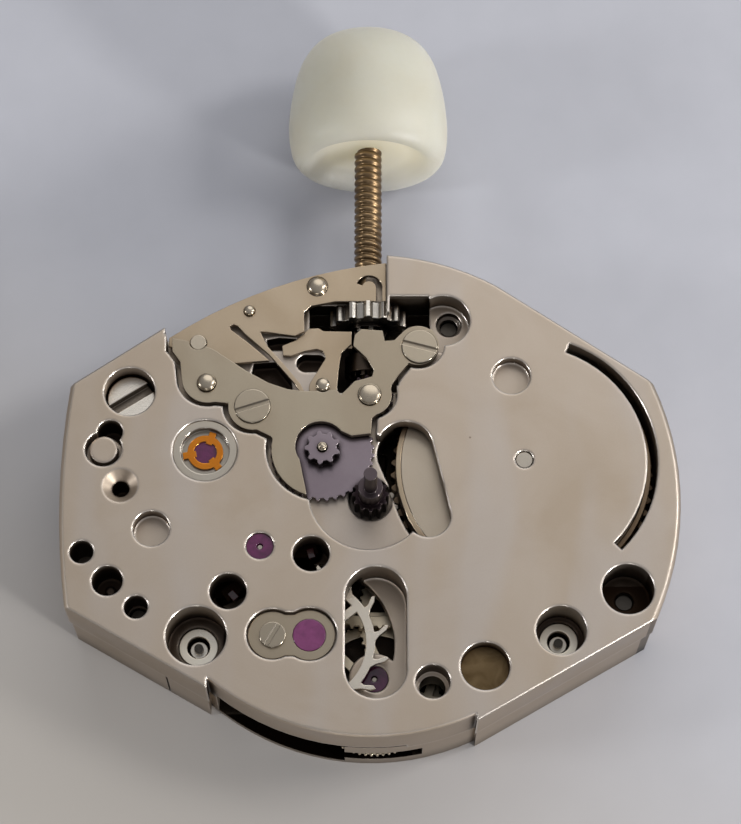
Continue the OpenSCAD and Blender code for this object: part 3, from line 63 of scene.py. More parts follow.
def feed(tree, socket, value):
    # a link for a socket, a plain setting for anything else
    if isinstance(value, bpy.types.NodeSocket):
        tree.links.new(value, socket)
    else:
        socket.default_value = value


def mixColours(tree, place, share, first, second):
    node = makeNode(tree, "ShaderNodeMix", place, data_type="RGBA")
    for index, value in ((0, share), (6, first), (7, second)):  # the sockets that colours use
        feed(tree, node.inputs[index], value)
    return node.outputs[2]


def doMaths(tree, place, operation, *values, clamp=False):
    node = makeNode(tree, "ShaderNodeMath", place, operation=operation, use_clamp=clamp)
    for socket, value in zip(node.inputs, values):
        feed(tree, socket, value)
    return node.outputs[0]


def doVectors(tree, place, operation, *values):
    node = makeNode(tree, "ShaderNodeVectorMath", place, operation=operation)
    for socket, value in zip(node.inputs, values):
        feed(tree, socket, value)
    return node.outputs["Value" if operation in ("DOT_PRODUCT", "LENGTH") else "Vector"]


def levelLength(tree, place, vector):
    # the length of a vector without its upright part
    level = doVectors(tree, place, "MULTIPLY", vector, (1, 1, 0))
    return doVectors(tree, (place[0] + 200, place[1]), "LENGTH", level)


def splitAxes(tree, place, vector):
    node = makeNode(tree, "ShaderNodeSeparateXYZ", place)
    feed(tree, node.inputs[0], vector)
    return node.outputs


def objectPoint(tree, place):
    return makeNode(tree, "ShaderNodeTexCoord", place).outputs["Object"]


def makeNoise(tree, place, point, scale, detail, distortion=0.0):
    node = makeNode(tree, "ShaderNodeTexNoise", place)
    for label, value in (("Vector", point), ("Scale", scale), ("Detail", detail),
                         ("Distortion", distortion)):
        feed(tree, node.inputs[label], value)
    return node.outputs["Fac"]


def mapSpan(tree, place, value, start, end, curve="LINEAR"):
    # 0 up to start and 1 from end on, also where the end is the smaller number
    node = makeNode(tree, "ShaderNodeMapRange", place, interpolation_type=curve)
    for label, number in (("Value", value), ("From Min", start), ("From Max", end)):
        feed(tree, node.inputs[label], number)
    return node.outputs["Result"]


def newGroup(name, inputs, outputs):
    # a node group, the values that it is given and the sockets for what it puts out
    group = bpy.data.node_groups.new(name, "ShaderNodeTree")
    for label, kind, value in inputs:
        socket = group.interface.new_socket(name=label, in_out="INPUT",
                                            socket_type="NodeSocket" + kind)
        socket.default_value = value
    for label, kind in outputs:
        group.interface.new_socket(name=label, in_out="OUTPUT", socket_type="NodeSocket" + kind)
    given = makeNode(group, "NodeGroupInput", (-1200, 0)).outputs
    result = makeNode(group, "NodeGroupOutput", (900, 0)).inputs
    return group, given, result


def placeGroup(tree, group, place, **values):
    node = makeNode(tree, "ShaderNodeGroup", place, node_tree=group)
    for label, value in values.items():
        feed(tree, node.inputs[label], value)
    return node.outputs


# helpers for materials and objects

def newMaterial(name):
    material = bpy.data.materials.new(name)
    material.use_nodes = True
    return material, material.node_tree, material.node_tree.nodes["Principled BSDF"]


def addRelief(tree, shader, height, look, normal=None):
    relief = makeNode(tree, "ShaderNodeBump", (-300, -400))
    relief.inputs["Strength"].default_value = look["bump"]
    relief.inputs["Distance"].default_value = look["bumpHeight"] * mm
    feed(tree, relief.inputs["Height"], height)
    if normal:
        feed(tree, relief.inputs["Normal"], normal)
    feed(tree, shader.inputs["Normal"], relief.outputs["Normal"])


def tint(red, green, blue):
    # a screen colour, each part from 0 to 255, in the linear numbers that a shader takes
    return tuple(((part / 255 + 0.055) / 1.055) ** 2.4 if part > 10 else part / 255 / 12.92
                 for part in (red, green, blue)) + (1,)


def addObject(name, data):
    added = bpy.data.objects.new(name, data)
    bpy.context.scene.collection.objects.link(added)
    return added


# camera

camera = {
    "place": (0.0, -0.026193, 0.079287), "clip": (0.001, 5.0),  # metres
    "tilt": 20.0,  # degrees from straight down
    "lens": 117.96,
}

cameraData = bpy.data.cameras.new("photoCamera")
cameraData.lens = camera["lens"]
cameraData.clip_start, cameraData.clip_end = camera["clip"]
cameraObject = addObject("photoCamera", cameraData)
cameraObject.location = camera["place"]
cameraObject.rotation_euler = (math.radians(camera["tilt"]), 0, 0)
bpy.context.scene.camera = cameraObject
bpy.context.scene.view_settings.view_transform = "Standard"
print("camera placed")


# room

# it is paler toward the window than away from it
roomLight = {
    "windowSide": (0.80, 0.82, 0.87, 1), "roomSide": (0.26, 0.235, 0.21, 1), "strength": 0.62,
    "towardWindow": (0.4, 0.36, 0.84), "start": -0.25, "end": 0.95,
}


def makeRoom():
    world = bpy.data.worlds.new("paleRoom")
    world.use_nodes = True
    tree = world.node_tree
    background = tree.nodes["Background"]
    background.inputs["Strength"].default_value = roomLight["strength"]
    direction = makeNode(tree, "ShaderNodeTexCoord", (-1000, 0)).outputs["Generated"]
    toward = doVectors(tree, (-800, 0), "DOT_PRODUCT", direction, roomLight["towardWindow"])
    share = mapSpan(tree, (-600, 0), toward, roomLight["start"], roomLight["end"], "SMOOTHSTEP")
    tone = mixColours(tree, (-400, 0), share, roomLight["roomSide"], roomLight["windowSide"])
    feed(tree, background.inputs["Color"], tone)
    bpy.context.scene.world = world


# lamps

# round discs that are aimed at the hands' axis, in metres and watts
lamps = {
    "windowLight": {
        "place": (0.03, 0.17, 0.16), "size": 0.22, "power": 0.18, "colour": (1.0, 0.99, 0.97)},
    "sideLight": {
        "place": (0.155, 0.03, 0.15), "size": 0.05, "power": 0.11, "colour": (1.0, 0.98, 0.95)},
    "rimLight": {
        "place": (0.12, -0.085, 0.05), "size": 0.03, "power": 0.18, "colour": (1.0, 0.98, 0.95)},
    "bevelLight": {
        "place": (0.15, 0.05, 0.07), "size": 0.03, "power": 0.05, "colour": (1.0, 0.99, 0.98)},
    "frontLight": {
        "place": (-0.01, -0.16, 0.045), "size": 0.05, "power": 0.03, "colour": (1.0, 0.98, 0.95)},
    "leftLight": {
        "place": (-0.15, -0.02, 0.07), "size": 0.03, "power": 0.065, "colour": (0.97, 0.98, 1.0)},
}


def addLamps():
    for name, lamp in lamps.items():
        data = bpy.data.lights.new(name, "AREA")
        data.shape = "DISK"
        data.size = lamp["size"]
        data.energy = lamp["power"]
        data.color = lamp["colour"]
        light = addObject(name, data)
        light.location = lamp["place"]
        light.rotation_euler = (-Vector(lamp["place"])).to_track_quat("-Z", "Y").to_euler()


makeRoom()
addLamps()
print("room and lamps made")


# floor

# it has a fine grain, and painted shade makes it warmer and darker toward the lower-left corner,
# where the shadow falls
floorSettings = {
    "size": 0.6, "light": tint(176, 177, 184), "dark": tint(169, 170, 177),
    "grain": 700.0, "grainDetail": 4, "roughness": 0.9, "specular": 0.1,
    "warmShade": tint(168, 163, 157), "towardShade": (-0.55, -0.83, 0),
    "shadeStart": -0.006, "shadeEnd": 0.014,
}


def makeFloor():
    mesh = bpy.data.meshes.new("paperFloor")
    half = floorSettings["size"] / 2
    z = cadBox[0].z
    corners = [(-half, -half, z), (half, -half, z), (half, half, z), (-half, half, z)]
    mesh.from_pydata(corners, [], [(0, 1, 2, 3)])
    floor = addObject("paperFloor", mesh)
    material, tree, shader = newMaterial("palePaper")
    point = objectPoint(tree, (-900, 0))
    grain = makeNoise(tree, (-700, 0), point, floorSettings["grain"], floorSettings["grainDetail"])
    tone = mixColours(tree, (-400, 0), grain, floorSettings["dark"], floorSettings["light"])
    toward = doVectors(tree, (-700, -300), "DOT_PRODUCT", point, floorSettings["towardShade"])
    # painted shade: the share of the warm, darker tone grows toward the lower-left
    floorShade = mapSpan(tree, (-500, -300), toward, floorSettings["shadeStart"],
                     floorSettings["shadeEnd"], "SMOOTHSTEP")
    shadedFloor = mixColours(tree, (-200, 0), floorShade, tone, floorSettings["warmShade"])
    feed(tree, shader.inputs["Base Color"], shadedFloor)
    shader.inputs["Roughness"].default_value = floorSettings["roughness"]
    shader.inputs["Specular IOR Level"].default_value = floorSettings["specular"]
    mesh.materials.append(material)


makeFloor()
print("floor made")


# effects that several finishes share

toneSettings = {
    "cloudDetail": 5, "cloudDistortion": 0.8, "cloudSpan": (0.35, 0.7), "speckDetail": 3,
    "smearStretch": (1, 0.3, 1), "smearScale": 420, "smearDetail": 2, "smearSpan": (0.45, 0.68),
    "dotScale": 620, "dotReach": 0.026, "dotsLeftOut": 0.55, "dotColour": tint(70, 48, 34),
}


def makeSurfaceTone():
    # clouds, long smears, scattered dark dots and fine specks in a colour,
    # and a roughness that changes with the clouds
    group, given, result = newGroup("surfaceTone", [
        ("Colour", "Color", (0.5, 0.5, 0.5, 1)), ("Stain", "Color", (0.4, 0.36, 0.3, 1)),
        ("Cloud Scale", "Float", 500.0), ("Cloud Amount", "Float", 0.3),
        ("Speck Scale", "Float", 20000.0), ("Speck Amount", "Float", 0.1), ("Dots", "Float", 0.0),
        ("Smear", "Color", (0.5, 0.5, 0.5, 1)), ("Smear Amount", "Float", 0.0),
        ("Roughness", "Float", 0.4), ("Roughness Change", "Float", 0.1)],
        [("Colour", "Color"), ("Roughness", "Float"), ("Height", "Float")])
    look = toneSettings
    point = objectPoint(group, (-1200, -300))
    cloud = makeNoise(group, (-800, 200), point, given["Cloud Scale"], look["cloudDetail"],
                      look["cloudDistortion"])
    speck = makeNoise(group, (-800, -100), point, given["Speck Scale"], look["speckDetail"])
    clouded = mapSpan(group, (-600, 200), cloud, *look["cloudSpan"])
    cloudShare = doMaths(group, (-400, 200), "MULTIPLY", clouded, given["Cloud Amount"])
    stained = mixColours(group, (-200, 200), cloudShare, given["Colour"], given["Stain"])
    stretched = doVectors(group, (-1000, 500), "MULTIPLY", point, look["smearStretch"])
    smear = makeNoise(group, (-800, 500), stretched, look["smearScale"], look["smearDetail"])
    streaked = mapSpan(group, (-600, 500), smear, *look["smearSpan"], "SMOOTHSTEP")
    smearShare = doMaths(group, (-400, 500), "MULTIPLY", streaked, given["Smear Amount"])
    smeared = mixColours(group, (-100, 300), smearShare, stained, given["Smear"])
    cells = makeNode(group, "ShaderNodeTexVoronoi", (-800, -600))
    cells.inputs["Scale"].default_value = look["dotScale"]
    feed(group, cells.inputs["Vector"], point)
    near = doMaths(group, (-600, -600), "LESS_THAN", cells.outputs["Distance"], look["dotReach"])
    chosen = makeNode(group, "ShaderNodeSeparateColor", (-600, -800))
    feed(group, chosen.inputs[0], cells.outputs["Color"])
    picked = doMaths(group, (-400, -800), "GREATER_THAN", chosen.outputs[0], look["dotsLeftOut"])
    dot = doMaths(group, (-200, -600), "MULTIPLY", near, picked)
    dotShare = doMaths(group, (-100, -600), "MULTIPLY", dot, given["Dots"])
    dotted = mixColours(group, (0, 300), dotShare, smeared, look["dotColour"])
    speckOff = doMaths(group, (-600, -100), "SUBTRACT", speck, 0.5)
    level = doMaths(group, (-400, -100), "MULTIPLY_ADD", speckOff, given["Speck Amount"], 1.0)
    scaled = makeNode(group, "ShaderNodeVectorMath", (0, 100), operation="SCALE")
    feed(group, scaled.inputs["Vector"], dotted)
    feed(group, scaled.inputs["Scale"], level)
    feed(group, result["Colour"], scaled.outputs["Vector"])
    roughOff = doMaths(group, (-400, -300), "SUBTRACT", cloud, 0.5)
    rough = doMaths(group, (-200, -300), "MULTIPLY_ADD", roughOff, given["Roughness Change"],
                    given["Roughness"], clamp=True)
    feed(group, result["Roughness"], rough)
    feed(group, result["Height"], speck)
    return group


traceSamples = 8  # rays that each of the next two effects sends from a point


def makeEdgeShine():
    # softened normals along sharp edges, and how strongly they turn away from the face
    group, given, result = newGroup("edgeShine", [
        ("Radius", "Float", 0.00003), ("Spread", "Float", 3.0)],
        [("Edge", "Float"), ("Normal", "Vector")])
    rounded = makeNode(group, "ShaderNodeBevel", (-800, 100), samples=traceSamples)
    feed(group, rounded.inputs["Radius"], given["Radius"])
    face = makeNode(group, "ShaderNodeNewGeometry", (-800, -150)).outputs["Normal"]
    alike = doVectors(group, (-600, 0), "DOT_PRODUCT", rounded.outputs["Normal"], face)
    away = doMaths(group, (-400, 0), "SUBTRACT", 1.0, alike)
    edge = doMaths(group, (-200, 0), "MULTIPLY", away, given["Spread"], clamp=True)
    feed(group, result["Edge"], edge)
    feed(group, result["Normal"], rounded.outputs["Normal"])
    return group


lowerDepths = (-0.4, -1.1)  # millimetres between which the painted shade in a hollow turns to its lower colour


def makeHollowShade():
    # painted shade in hollows: how closed in a point is, from no share at a level to a full one at
    # a deeper place, with depths of their own for faces that lie flat, and how low in a hollow it
    # is
    group, given, result = newGroup("hollowShade", [
        ("Reach", "Float", 0.001), ("Gain", "Float", 2.0),
        ("Level", "Float", -0.0002), ("Deep", "Float", -0.0012),
        ("Floor Level", "Float", -0.0002), ("Floor Deep", "Float", -0.0012)],
        [("Mask", "Float"), ("Lower", "Float")])
    shade = makeNode(group, "ShaderNodeAmbientOcclusion", (-800, 100), samples=traceSamples)
    feed(group, shade.inputs["Distance"], given["Reach"])
    closed = doMaths(group, (-600, 100), "SUBTRACT", 1.0, shade.outputs["AO"])
    strong = doMaths(group, (-400, 100), "MULTIPLY", closed, given["Gain"], clamp=True)
    height = splitAxes(group, (-1000, -300), objectPoint(group, (-1200, -300)))["Z"]
    wallDepth = mapSpan(group, (-600, -200), height, given["Level"], given["Deep"])
    floorDepth = mapSpan(group, (-600, -500), height, given["Floor Level"], given["Floor Deep"])
    face = makeNode(group, "ShaderNodeNewGeometry", (-1200, -700)).outputs["Normal"]
    flatness = doMaths(group, (-800, -700), "ABSOLUTE", splitAxes(group, (-1000, -700), face)["Z"])
    depth = makeNode(group, "ShaderNodeMix", (-400, -300))
    for label, value in (("Factor", flatness), ("A", wallDepth), ("B", floorDepth)):
        feed(group, depth.inputs[label], value)
    mask = doMaths(group, (-200, 0), "MULTIPLY", strong, depth.outputs["Result"], clamp=True)
    feed(group, result["Mask"], mask)
    lower = mapSpan(group, (-600, -900), height, *(z * mm for z in lowerDepths))
    feed(group, result["Lower"], lower)
    return group


def makeBoxMask():
    # 1 inside an upright box, as far as a radius from the hands' axis, and 0 elsewhere
    group, given, result = newGroup("boxMask", [
        ("Low", "Vector", (0, 0, 0)), ("High", "Vector", (0, 0, 0)), ("Radius", "Float", 1.0)],
        [("Mask", "Float")])
    point = objectPoint(group, (-1200, -300))
    here, low, high = (splitAxes(group, (-1000, -200 * row), vector)
                       for row, vector in enumerate((point, given["Low"], given["High"])))
    away = levelLength(group, (-1000, -700), point)
    mask = doMaths(group, (-600, -700), "LESS_THAN", away, given["Radius"])
    for row, axis in enumerate("XYZ"):
        above = doMaths(group, (-700, -150 * row), "GREATER_THAN", here[axis], low[axis])
        below = doMaths(group, (-500, -150 * row), "LESS_THAN", here[axis], high[axis])
        both = doMaths(group, (-300, -150 * row), "MULTIPLY", above, below)
        mask = doMaths(group, (-100, -150 * row), "MULTIPLY", mask, both)
    feed(group, result["Mask"], mask)
    return group


lineDetail = 2  # finer layers of noise on the rings


def makeTurnedLines():
    # fine rings round an upright axis, as a lathe leaves them
    group, given, result = newGroup("turnedLines", [
        ("Centre", "Vector", (0, 0, 0)), ("Ring Scale", "Float", 30000.0)],
        [("Height", "Float")])
    away = doVectors(group, (-1000, 0), "SUBTRACT", objectPoint(group, (-1200, -300)),
                     given["Centre"])
    radius = levelLength(group, (-800, 0), away)
    steps = doMaths(group, (-400, 0), "MULTIPLY", radius, given["Ring Scale"])
    rings = makeNode(group, "ShaderNodeTexNoise", (-200, 0), noise_dimensions="1D")
    for label, value in (("Scale", 1.0), ("Detail", lineDetail), ("W", steps)):
        feed(group, rings.inputs[label], value)
    feed(group, result["Height"], rings.outputs["Fac"])
    return group


surfaceTone = makeSurfaceTone()
edgeShine = makeEdgeShine()
hollowShade = makeHollowShade()
turnedLines = makeTurnedLines()
boxMask = makeBoxMask()
print("shared effects made")


# metal finishes

# lengths are in millimetres, and depths count from the dial face
plainMetal = {
    "cloud": 2.5, "cloudAmount": 0.4, "speck": 0.05, "speckAmount": 0.08, "dots": 0.0,
    "smear": None, "smearAmount": 0.0, "roughnessChange": 0.15, "bump": 0.12, "bumpHeight": 0.01,
    "edgeRadius": 0.03, "edgeSpread": 3.0, "edgeHighlightAmount": 0.5, "edgePolish": 0.5,
    "shadeColour": tint(48, 35, 25), "lowColour": tint(20, 13, 9), "shadeAmount": 0.85,
    "shadeReach": 0.9, "shadeGain": 1.8, "wallDepths": (-0.25, -1.2), "floorDepths": None,
    "boxes": (), "lines": None,
}
barrelLines = {"centre": (4.78, 1.1, 0), "spacing": 0.05, "share": 0.8}

# a box has its low and high corner, its radius from the hands' axis, and the share by which
# it adds painted shade inside it, or takes painted shade away below 0
metalLooks = {
    "plateNickel": {
        "colour": tint(173, 160, 146), "stain": tint(160, 145, 127), "roughness": 0.46,
        "cloud": 4.0, "cloudAmount": 0.7, "dots": 0.6,
        "smear": tint(174, 166, 160), "smearAmount": 0.5,
        "edgeHighlight": tint(240, 236, 230), "edgeRadius": 0.13, "edgeHighlightAmount": 0.8,
        "shadeColour": tint(78, 60, 45), "lowColour": tint(40, 29, 21), "shadeAmount": 0.96,
        "shadeGain": 2.2, "wallDepths": (-0.02, -0.4), "floorDepths": (-0.8, -1.2),
        # the boxes take the painted shade out of the train slot's floor and the arc slot, and add
        # painted shade in the hole at the lower right
        "boxes": [((-0.9, -6.4, -1.32), (1.2, -2.3, -1.28), 9, -1.0),
                  ((5.6, -2.0, -2.5), (9.4, 6.6, -0.05), 12, -1.0),
                  ((7.1, -4.1, -3.0), (8.8, -2.6, -0.12), 12, 0.6)]},
    "bridgeNickel": {
        "colour": tint(176, 163, 148), "stain": tint(162, 147, 129), "roughness": 0.44,
        "cloud": 4.0, "cloudAmount": 0.7,
        "edgeHighlight": tint(226, 220, 211), "edgeRadius": 0.05,
        "shadeAmount": 0.97, "shadeReach": 1.6, "shadeGain": 3.0,
        "wallDepths": (-2.9, -5.2), "floorDepths": (-1.3, -2.0),
        # painted shade turns the foot opening black and darkens the hole at the lower right
        "boxes": [((-4.9, -8, -3.86), (1.3, -6.1, -1.5), 7.6, 1.0),
                  ((7.1, -4.1, -3.89), (8.8, -2.6, -1.2), 12, 0.6)]},
    # painted shade: a dark steel for the pallet parts, which are only seen down in holes
    "palletSteelInShade": {
        "colour": tint(84, 54, 46), "stain": tint(56, 26, 24), "roughness": 0.6,
        "edgeHighlight": tint(90, 62, 54),
        "shadeAmount": 0.97, "shadeReach": 1.6, "shadeGain": 4.0, "wallDepths": (-0.3, -0.9)},
    "coverNickel": {
        "colour": tint(152, 140, 122), "stain": tint(140, 126, 106), "roughness": 0.38,
        "dots": 0.7, "smear": tint(160, 150, 132), "smearAmount": 0.5,
        "edgeHighlight": tint(226, 219, 206)},
    "blockNickel": {
        "colour": tint(172, 164, 152), "stain": tint(152, 142, 126), "roughness": 0.3,
        "edgeHighlight": tint(240, 236, 230), "edgeRadius": 0.05, "edgeHighlightAmount": 0.6,
        "shadeGain": 2.6, "wallDepths": (-0.08, -0.4), "floorDepths": (-0.2, -0.5)},
    "drumNickel": {
        "colour": tint(168, 152, 130), "stain": tint(140, 120, 94), "roughness": 0.3,
        "edgeHighlight": tint(236, 218, 186), "edgeRadius": 0.04, "edgeHighlightAmount": 0.7,
        "shadeColour": tint(96, 76, 56), "lowColour": tint(60, 44, 30), "shadeAmount": 0.8,
        "shadeGain": 1.6, "wallDepths": (-0.5, -0.66), "lines": barrelLines},
    "lidNickel": {
        "colour": tint(170, 158, 142), "stain": tint(156, 141, 122), "roughness": 0.36,
        "edgeHighlight": tint(210, 200, 186), "wallDepths": (-0.7, -1.4), "lines": barrelLines},
    "strawSteel": {
        "colour": tint(162, 146, 125), "stain": tint(140, 121, 95), "roughness": 0.36,
        "dots": 0.6, "edgeHighlight": tint(226, 214, 196)},
    "pinSteel": {
        "colour": tint(172, 161, 144), "stain": tint(146, 131, 110), "roughness": 0.26,
        "edgeHighlight": tint(200, 190, 172), "edgeRadius": 0.03, "edgeHighlightAmount": 0.35, "bump": 0.06},
    "screwSteel": {
        "colour": tint(158, 147, 130), "stain": tint(140, 128, 110), "roughness": 0.3,
        "edgeHighlight": tint(226, 220, 208), "edgeRadius": 0.05,
        "shadeReach": 0.25, "shadeGain": 2.0, "wallDepths": (-0.1, -0.25)},
    "sunkSteel": {
        "colour": tint(224, 217, 206), "stain": tint(190, 178, 160), "roughness": 0.26,
        "edgeHighlight": tint(255, 252, 246), "edgeRadius": 0.05,
        "shadeColour": tint(84, 70, 56), "lowColour": tint(84, 70, 56),
        "shadeReach": 0.4, "shadeGain": 4.0, "wallDepths": (-0.67, -0.78)},
    "wellScrew": {
        "colour": tint(214, 206, 192), "stain": tint(180, 168, 148), "roughness": 0.28,
        "edgeHighlight": tint(240, 234, 224),
        # painted shade darkens the screws above about 1.7 mm deep, the tips seen down in the wells
        "shadeAmount": 0.92, "shadeReach": 1.2, "shadeGain": 5.0, "wallDepths": (-1.74, -1.66)},
    "wellSteel": {
        "colour": tint(170, 162, 150), "stain": tint(140, 128, 112), "roughness": 0.3,
        "edgeHighlight": tint(220, 214, 204), "wallDepths": (-1.0, -2.6)},
    "toothSteel": {
        "colour": tint(214, 208, 198), "stain": tint(150, 136, 120), "roughness": 0.26,
        "edgeHighlight": tint(250, 246, 240), "shadeColour": tint(26, 18, 13), "shadeAmount": 0.98,
        "shadeReach": 0.4, "shadeGain": 3.6, "wallDepths": (-0.1, -0.5)},
    "clutchSteel": {
        "colour": tint(104, 92, 80), "stain": tint(60, 50, 42), "roughness": 0.34,
        "edgeHighlight": tint(170, 160, 148), "wallDepths": (-0.3, -1.2)},
    "pinionSteel": {
        "colour": tint(92, 82, 84), "stain": tint(60, 50, 54), "roughness": 0.32,
        "edgeHighlight": tint(170, 162, 162), "shadeColour": tint(30, 22, 24), "shadeAmount": 0.95,
        "shadeReach": 0.3, "shadeGain": 7.0, "wallDepths": (1.0, -0.1)},
    "violetSteel": {
        "colour": tint(130, 119, 124), "stain": tint(102, 90, 97), "roughness": 0.33,
        "edgeHighlight": tint(186, 178, 180),
        "shadeColour": tint(30, 22, 24), "lowColour": tint(30, 22, 24), "shadeAmount": 0.95,
        "shadeReach": 0.2, "shadeGain": 2.4, "wallDepths": (0.2, -0.2),
        # painted shade darkens the minute wheel round its pinion
        "boxes": [((-2.2, 0.8, -0.37), (-0.8, 2.2, -0.01), 4, 1.0)]},
    "threadSteel": {
        "colour": tint(138, 116, 88), "stain": tint(88, 68, 46), "roughness": 0.34,
        "cloud": 0.8, "edgeHighlight": tint(204, 188, 160), "edgeHighlightAmount": 0.3,
        "shadeReach": 0.3, "shadeGain": 2.5, "wallDepths": (-0.6, -2.4)},
    "wheelBrass": {
        "colour": tint(226, 212, 186), "stain": tint(196, 174, 140), "roughness": 0.32,
        "edgeHighlight": tint(240, 228, 204), "shadeColour": tint(48, 34, 22), "shadeAmount": 0.35,
        "wallDepths": (-1.2, -3.4)},
    "crossSteel": {
        "colour": tint(214, 205, 190), "stain": tint(180, 166, 146), "roughness": 0.28,
        "edgeHighlight": tint(244, 238, 228), "shadeAmount": 0.6, "wallDepths": (-0.9, -2.4)},
    "tubeBrass": {
        "colour": tint(226, 218, 202), "stain": tint(196, 184, 162), "roughness": 0.3,
        "edgeHighlight": tint(250, 244, 230), "edgeRadius": 0.05, "lowColour": tint(64, 44, 30),
        "shadeGain": 2.4, "wallDepths": (-1.42, -1.7)},
    "dullBrass": {
        "colour": tint(112, 94, 68), "stain": tint(76, 60, 38), "roughness": 0.42,
        "cloud": 0.6, "cloudAmount": 0.8, "edgeHighlight": tint(170, 152, 118), "shadeAmount": 0.4},
    "goldSpring": {
        "colour": tint(190, 118, 40), "stain": tint(158, 82, 24), "roughness": 0.3,
        "edgeHighlight": tint(255, 200, 110), "wallDepths": (-0.4, -1.6)},
    "blueSteel": {
        "colour": tint(104, 108, 124), "stain": tint(74, 74, 86), "roughness": 0.3,
        "edgeHighlight": tint(150, 154, 168)},
}


def makeMetal(name, changes):
    look = {**plainMetal, **changes}
    material, tree, shader = newMaterial(name)
    shader.inputs["Metallic"].default_value = 1.0
    tone = placeGroup(tree, surfaceTone, (-900, 200), **{
        "Colour": look["colour"], "Stain": look["stain"],
        "Cloud Scale": 1 / mm / look["cloud"], "Cloud Amount": look["cloudAmount"],
        "Speck Scale": 1 / mm / look["speck"], "Speck Amount": look["speckAmount"],
        "Dots": look["dots"],
        "Smear": look["smear"] or look["colour"], "Smear Amount": look["smearAmount"],
        "Roughness": look["roughness"], "Roughness Change": look["roughnessChange"]})
    edge = placeGroup(tree, edgeShine, (-900, -200), Radius=look["edgeRadius"] * mm,
                      Spread=look["edgeSpread"])
    # painted highlight: sharp edges are mixed toward a paler colour
    highlightShare = doMaths(tree, (-700, -200), "MULTIPLY", edge["Edge"], look["edgeHighlightAmount"])
    highlighted = mixColours(tree, (-500, 200), highlightShare, tone["Colour"], look["edgeHighlight"])
    walls = look["wallDepths"]
    floors = look["floorDepths"] or walls
    shade = placeGroup(tree, hollowShade, (-900, -450), **{
        "Reach": look["shadeReach"] * mm, "Gain": look["shadeGain"],
        "Level": walls[0] * mm, "Deep": walls[1] * mm,
        "Floor Level": floors[0] * mm, "Floor Deep": floors[1] * mm})
    shadeShare = doMaths(tree, (-700, -450), "MULTIPLY", shade["Mask"], look["shadeAmount"])
    for row, (low, high, radius, share) in enumerate(look["boxes"]):
        box = placeGroup(tree, boxMask, (-900, -1000 - 200 * row), Low=[v * mm for v in low],
                         High=[v * mm for v in high], Radius=radius * mm)
        shadeShare = doMaths(tree, (-600, -900 - 200 * row), "MULTIPLY_ADD", box["Mask"], share,
                             shadeShare, clamp=True)
    # painted shade in hollows, browner near the top and darker further down
    dark = mixColours(tree, (-500, -450), shade["Lower"], look["shadeColour"], look["lowColour"])
    shaded = mixColours(tree, (-300, 200), shadeShare, highlighted, dark)
    feed(tree, shader.inputs["Base Color"], shaded)
    polish = doMaths(tree, (-500, -250), "MULTIPLY_ADD", edge["Edge"], -look["edgePolish"], 1.0)
    rough = doMaths(tree, (-300, -150), "MULTIPLY", tone["Roughness"], polish)
    feed(tree, shader.inputs["Roughness"], rough)
    height = tone["Height"]
    lines = look["lines"]
    if lines:
        rings = placeGroup(tree, turnedLines, (-900, -700), **{
            "Centre": [v * mm for v in lines["centre"]], "Ring Scale": 1 / mm / lines["spacing"]})
        height = doMaths(tree, (-500, -600), "MULTIPLY_ADD", rings["Height"], lines["share"],
                         height)
    addRelief(tree, shader, height, look, edge["Normal"])
    return material


finishes = {name: makeMetal(name, look) for name, look in metalLooks.items()}
print("metal finishes made")


# ruby

rubyLook = {
    "tone": {"Cloud Scale": 2200.0, "Cloud Amount": 0.8, "Speck Scale": 9000.0,
             "Speck Amount": 0.5, "Roughness": 0.12, "Roughness Change": 0.1},
    "edgeRadius": 0.04, "edgeSpread": 3.0, "ior": 1.76, "specular": 0.35,
    "shadeColour": tint(40, 6, 20), "shadeReach": 0.6, "shadeGain": 1.6, "shadeDepth": 1,
}
# the colour, the deeper colour in its clouds, and the level below which a jewel is shaded
rubies = {
    "rubyJewel": (tint(92, 30, 74), tint(56, 14, 44), -0.2),
    "rubyCap": (tint(106, 46, 88), tint(80, 28, 66), -0.25),
    # painted shade: a darker ruby for the stones that are seen down in wells
    "rubyInShade": (tint(70, 16, 22), tint(44, 8, 16), -0.4),
}


def makeRuby(name, colour, deeper, level):
    material, tree, shader = newMaterial(name)
    tone = placeGroup(tree, surfaceTone, (-900, 200), Colour=colour, Stain=deeper,
                      **rubyLook["tone"])
    edge = placeGroup(tree, edgeShine, (-900, -200), Radius=rubyLook["edgeRadius"] * mm,
                      Spread=rubyLook["edgeSpread"])
    top, bottom = level * mm, (level - rubyLook["shadeDepth"]) * mm
    shade = placeGroup(tree, hollowShade, (-900, -450), **{
        "Reach": rubyLook["shadeReach"] * mm, "Gain": rubyLook["shadeGain"],
        "Level": top, "Deep": bottom, "Floor Level": top, "Floor Deep": bottom})
    shaded = mixColours(tree, (-300, 200), shade["Mask"], tone["Colour"], rubyLook["shadeColour"])
    feed(tree, shader.inputs["Base Color"], shaded)
    feed(tree, shader.inputs["Roughness"], tone["Roughness"])
    feed(tree, shader.inputs["Normal"], edge["Normal"])
    shader.inputs["IOR"].default_value = rubyLook["ior"]
    shader.inputs["Specular IOR Level"].default_value = rubyLook["specular"]
    return material


for name, (colour, deeper, level) in rubies.items():
    finishes[name] = makeRuby(name, colour, deeper, level)
print("ruby made")


# pale plastic of the knob

stemAxis = (-0.08 * mm, -1.4 * mm)  # where the stem lies in X and Z

# painted light makes the dished mouth paler, going from none to full along the stem
# and across from its axis, in millimetres
plasticLook = {
    "tone": {"Colour": tint(175, 174, 163), "Stain": tint(170, 164, 148), "Cloud Scale": 260.0,
             "Cloud Amount": 0.7, "Speck Scale": 6000.0, "Speck Amount": 0.03,
             "Roughness": 0.46, "Roughness Change": 0.15},
    "mouthLight": tint(226, 220, 202), "mouthAlong": (12.7, 12.3), "mouthAcross": (2.1, 1.2),
    "bump": 0.2, "bumpHeight": 0.02,
    "glow": 1.0, "glowRadius": (0.006, 0.0057, 0.005), "glowScale": 1.0,
}


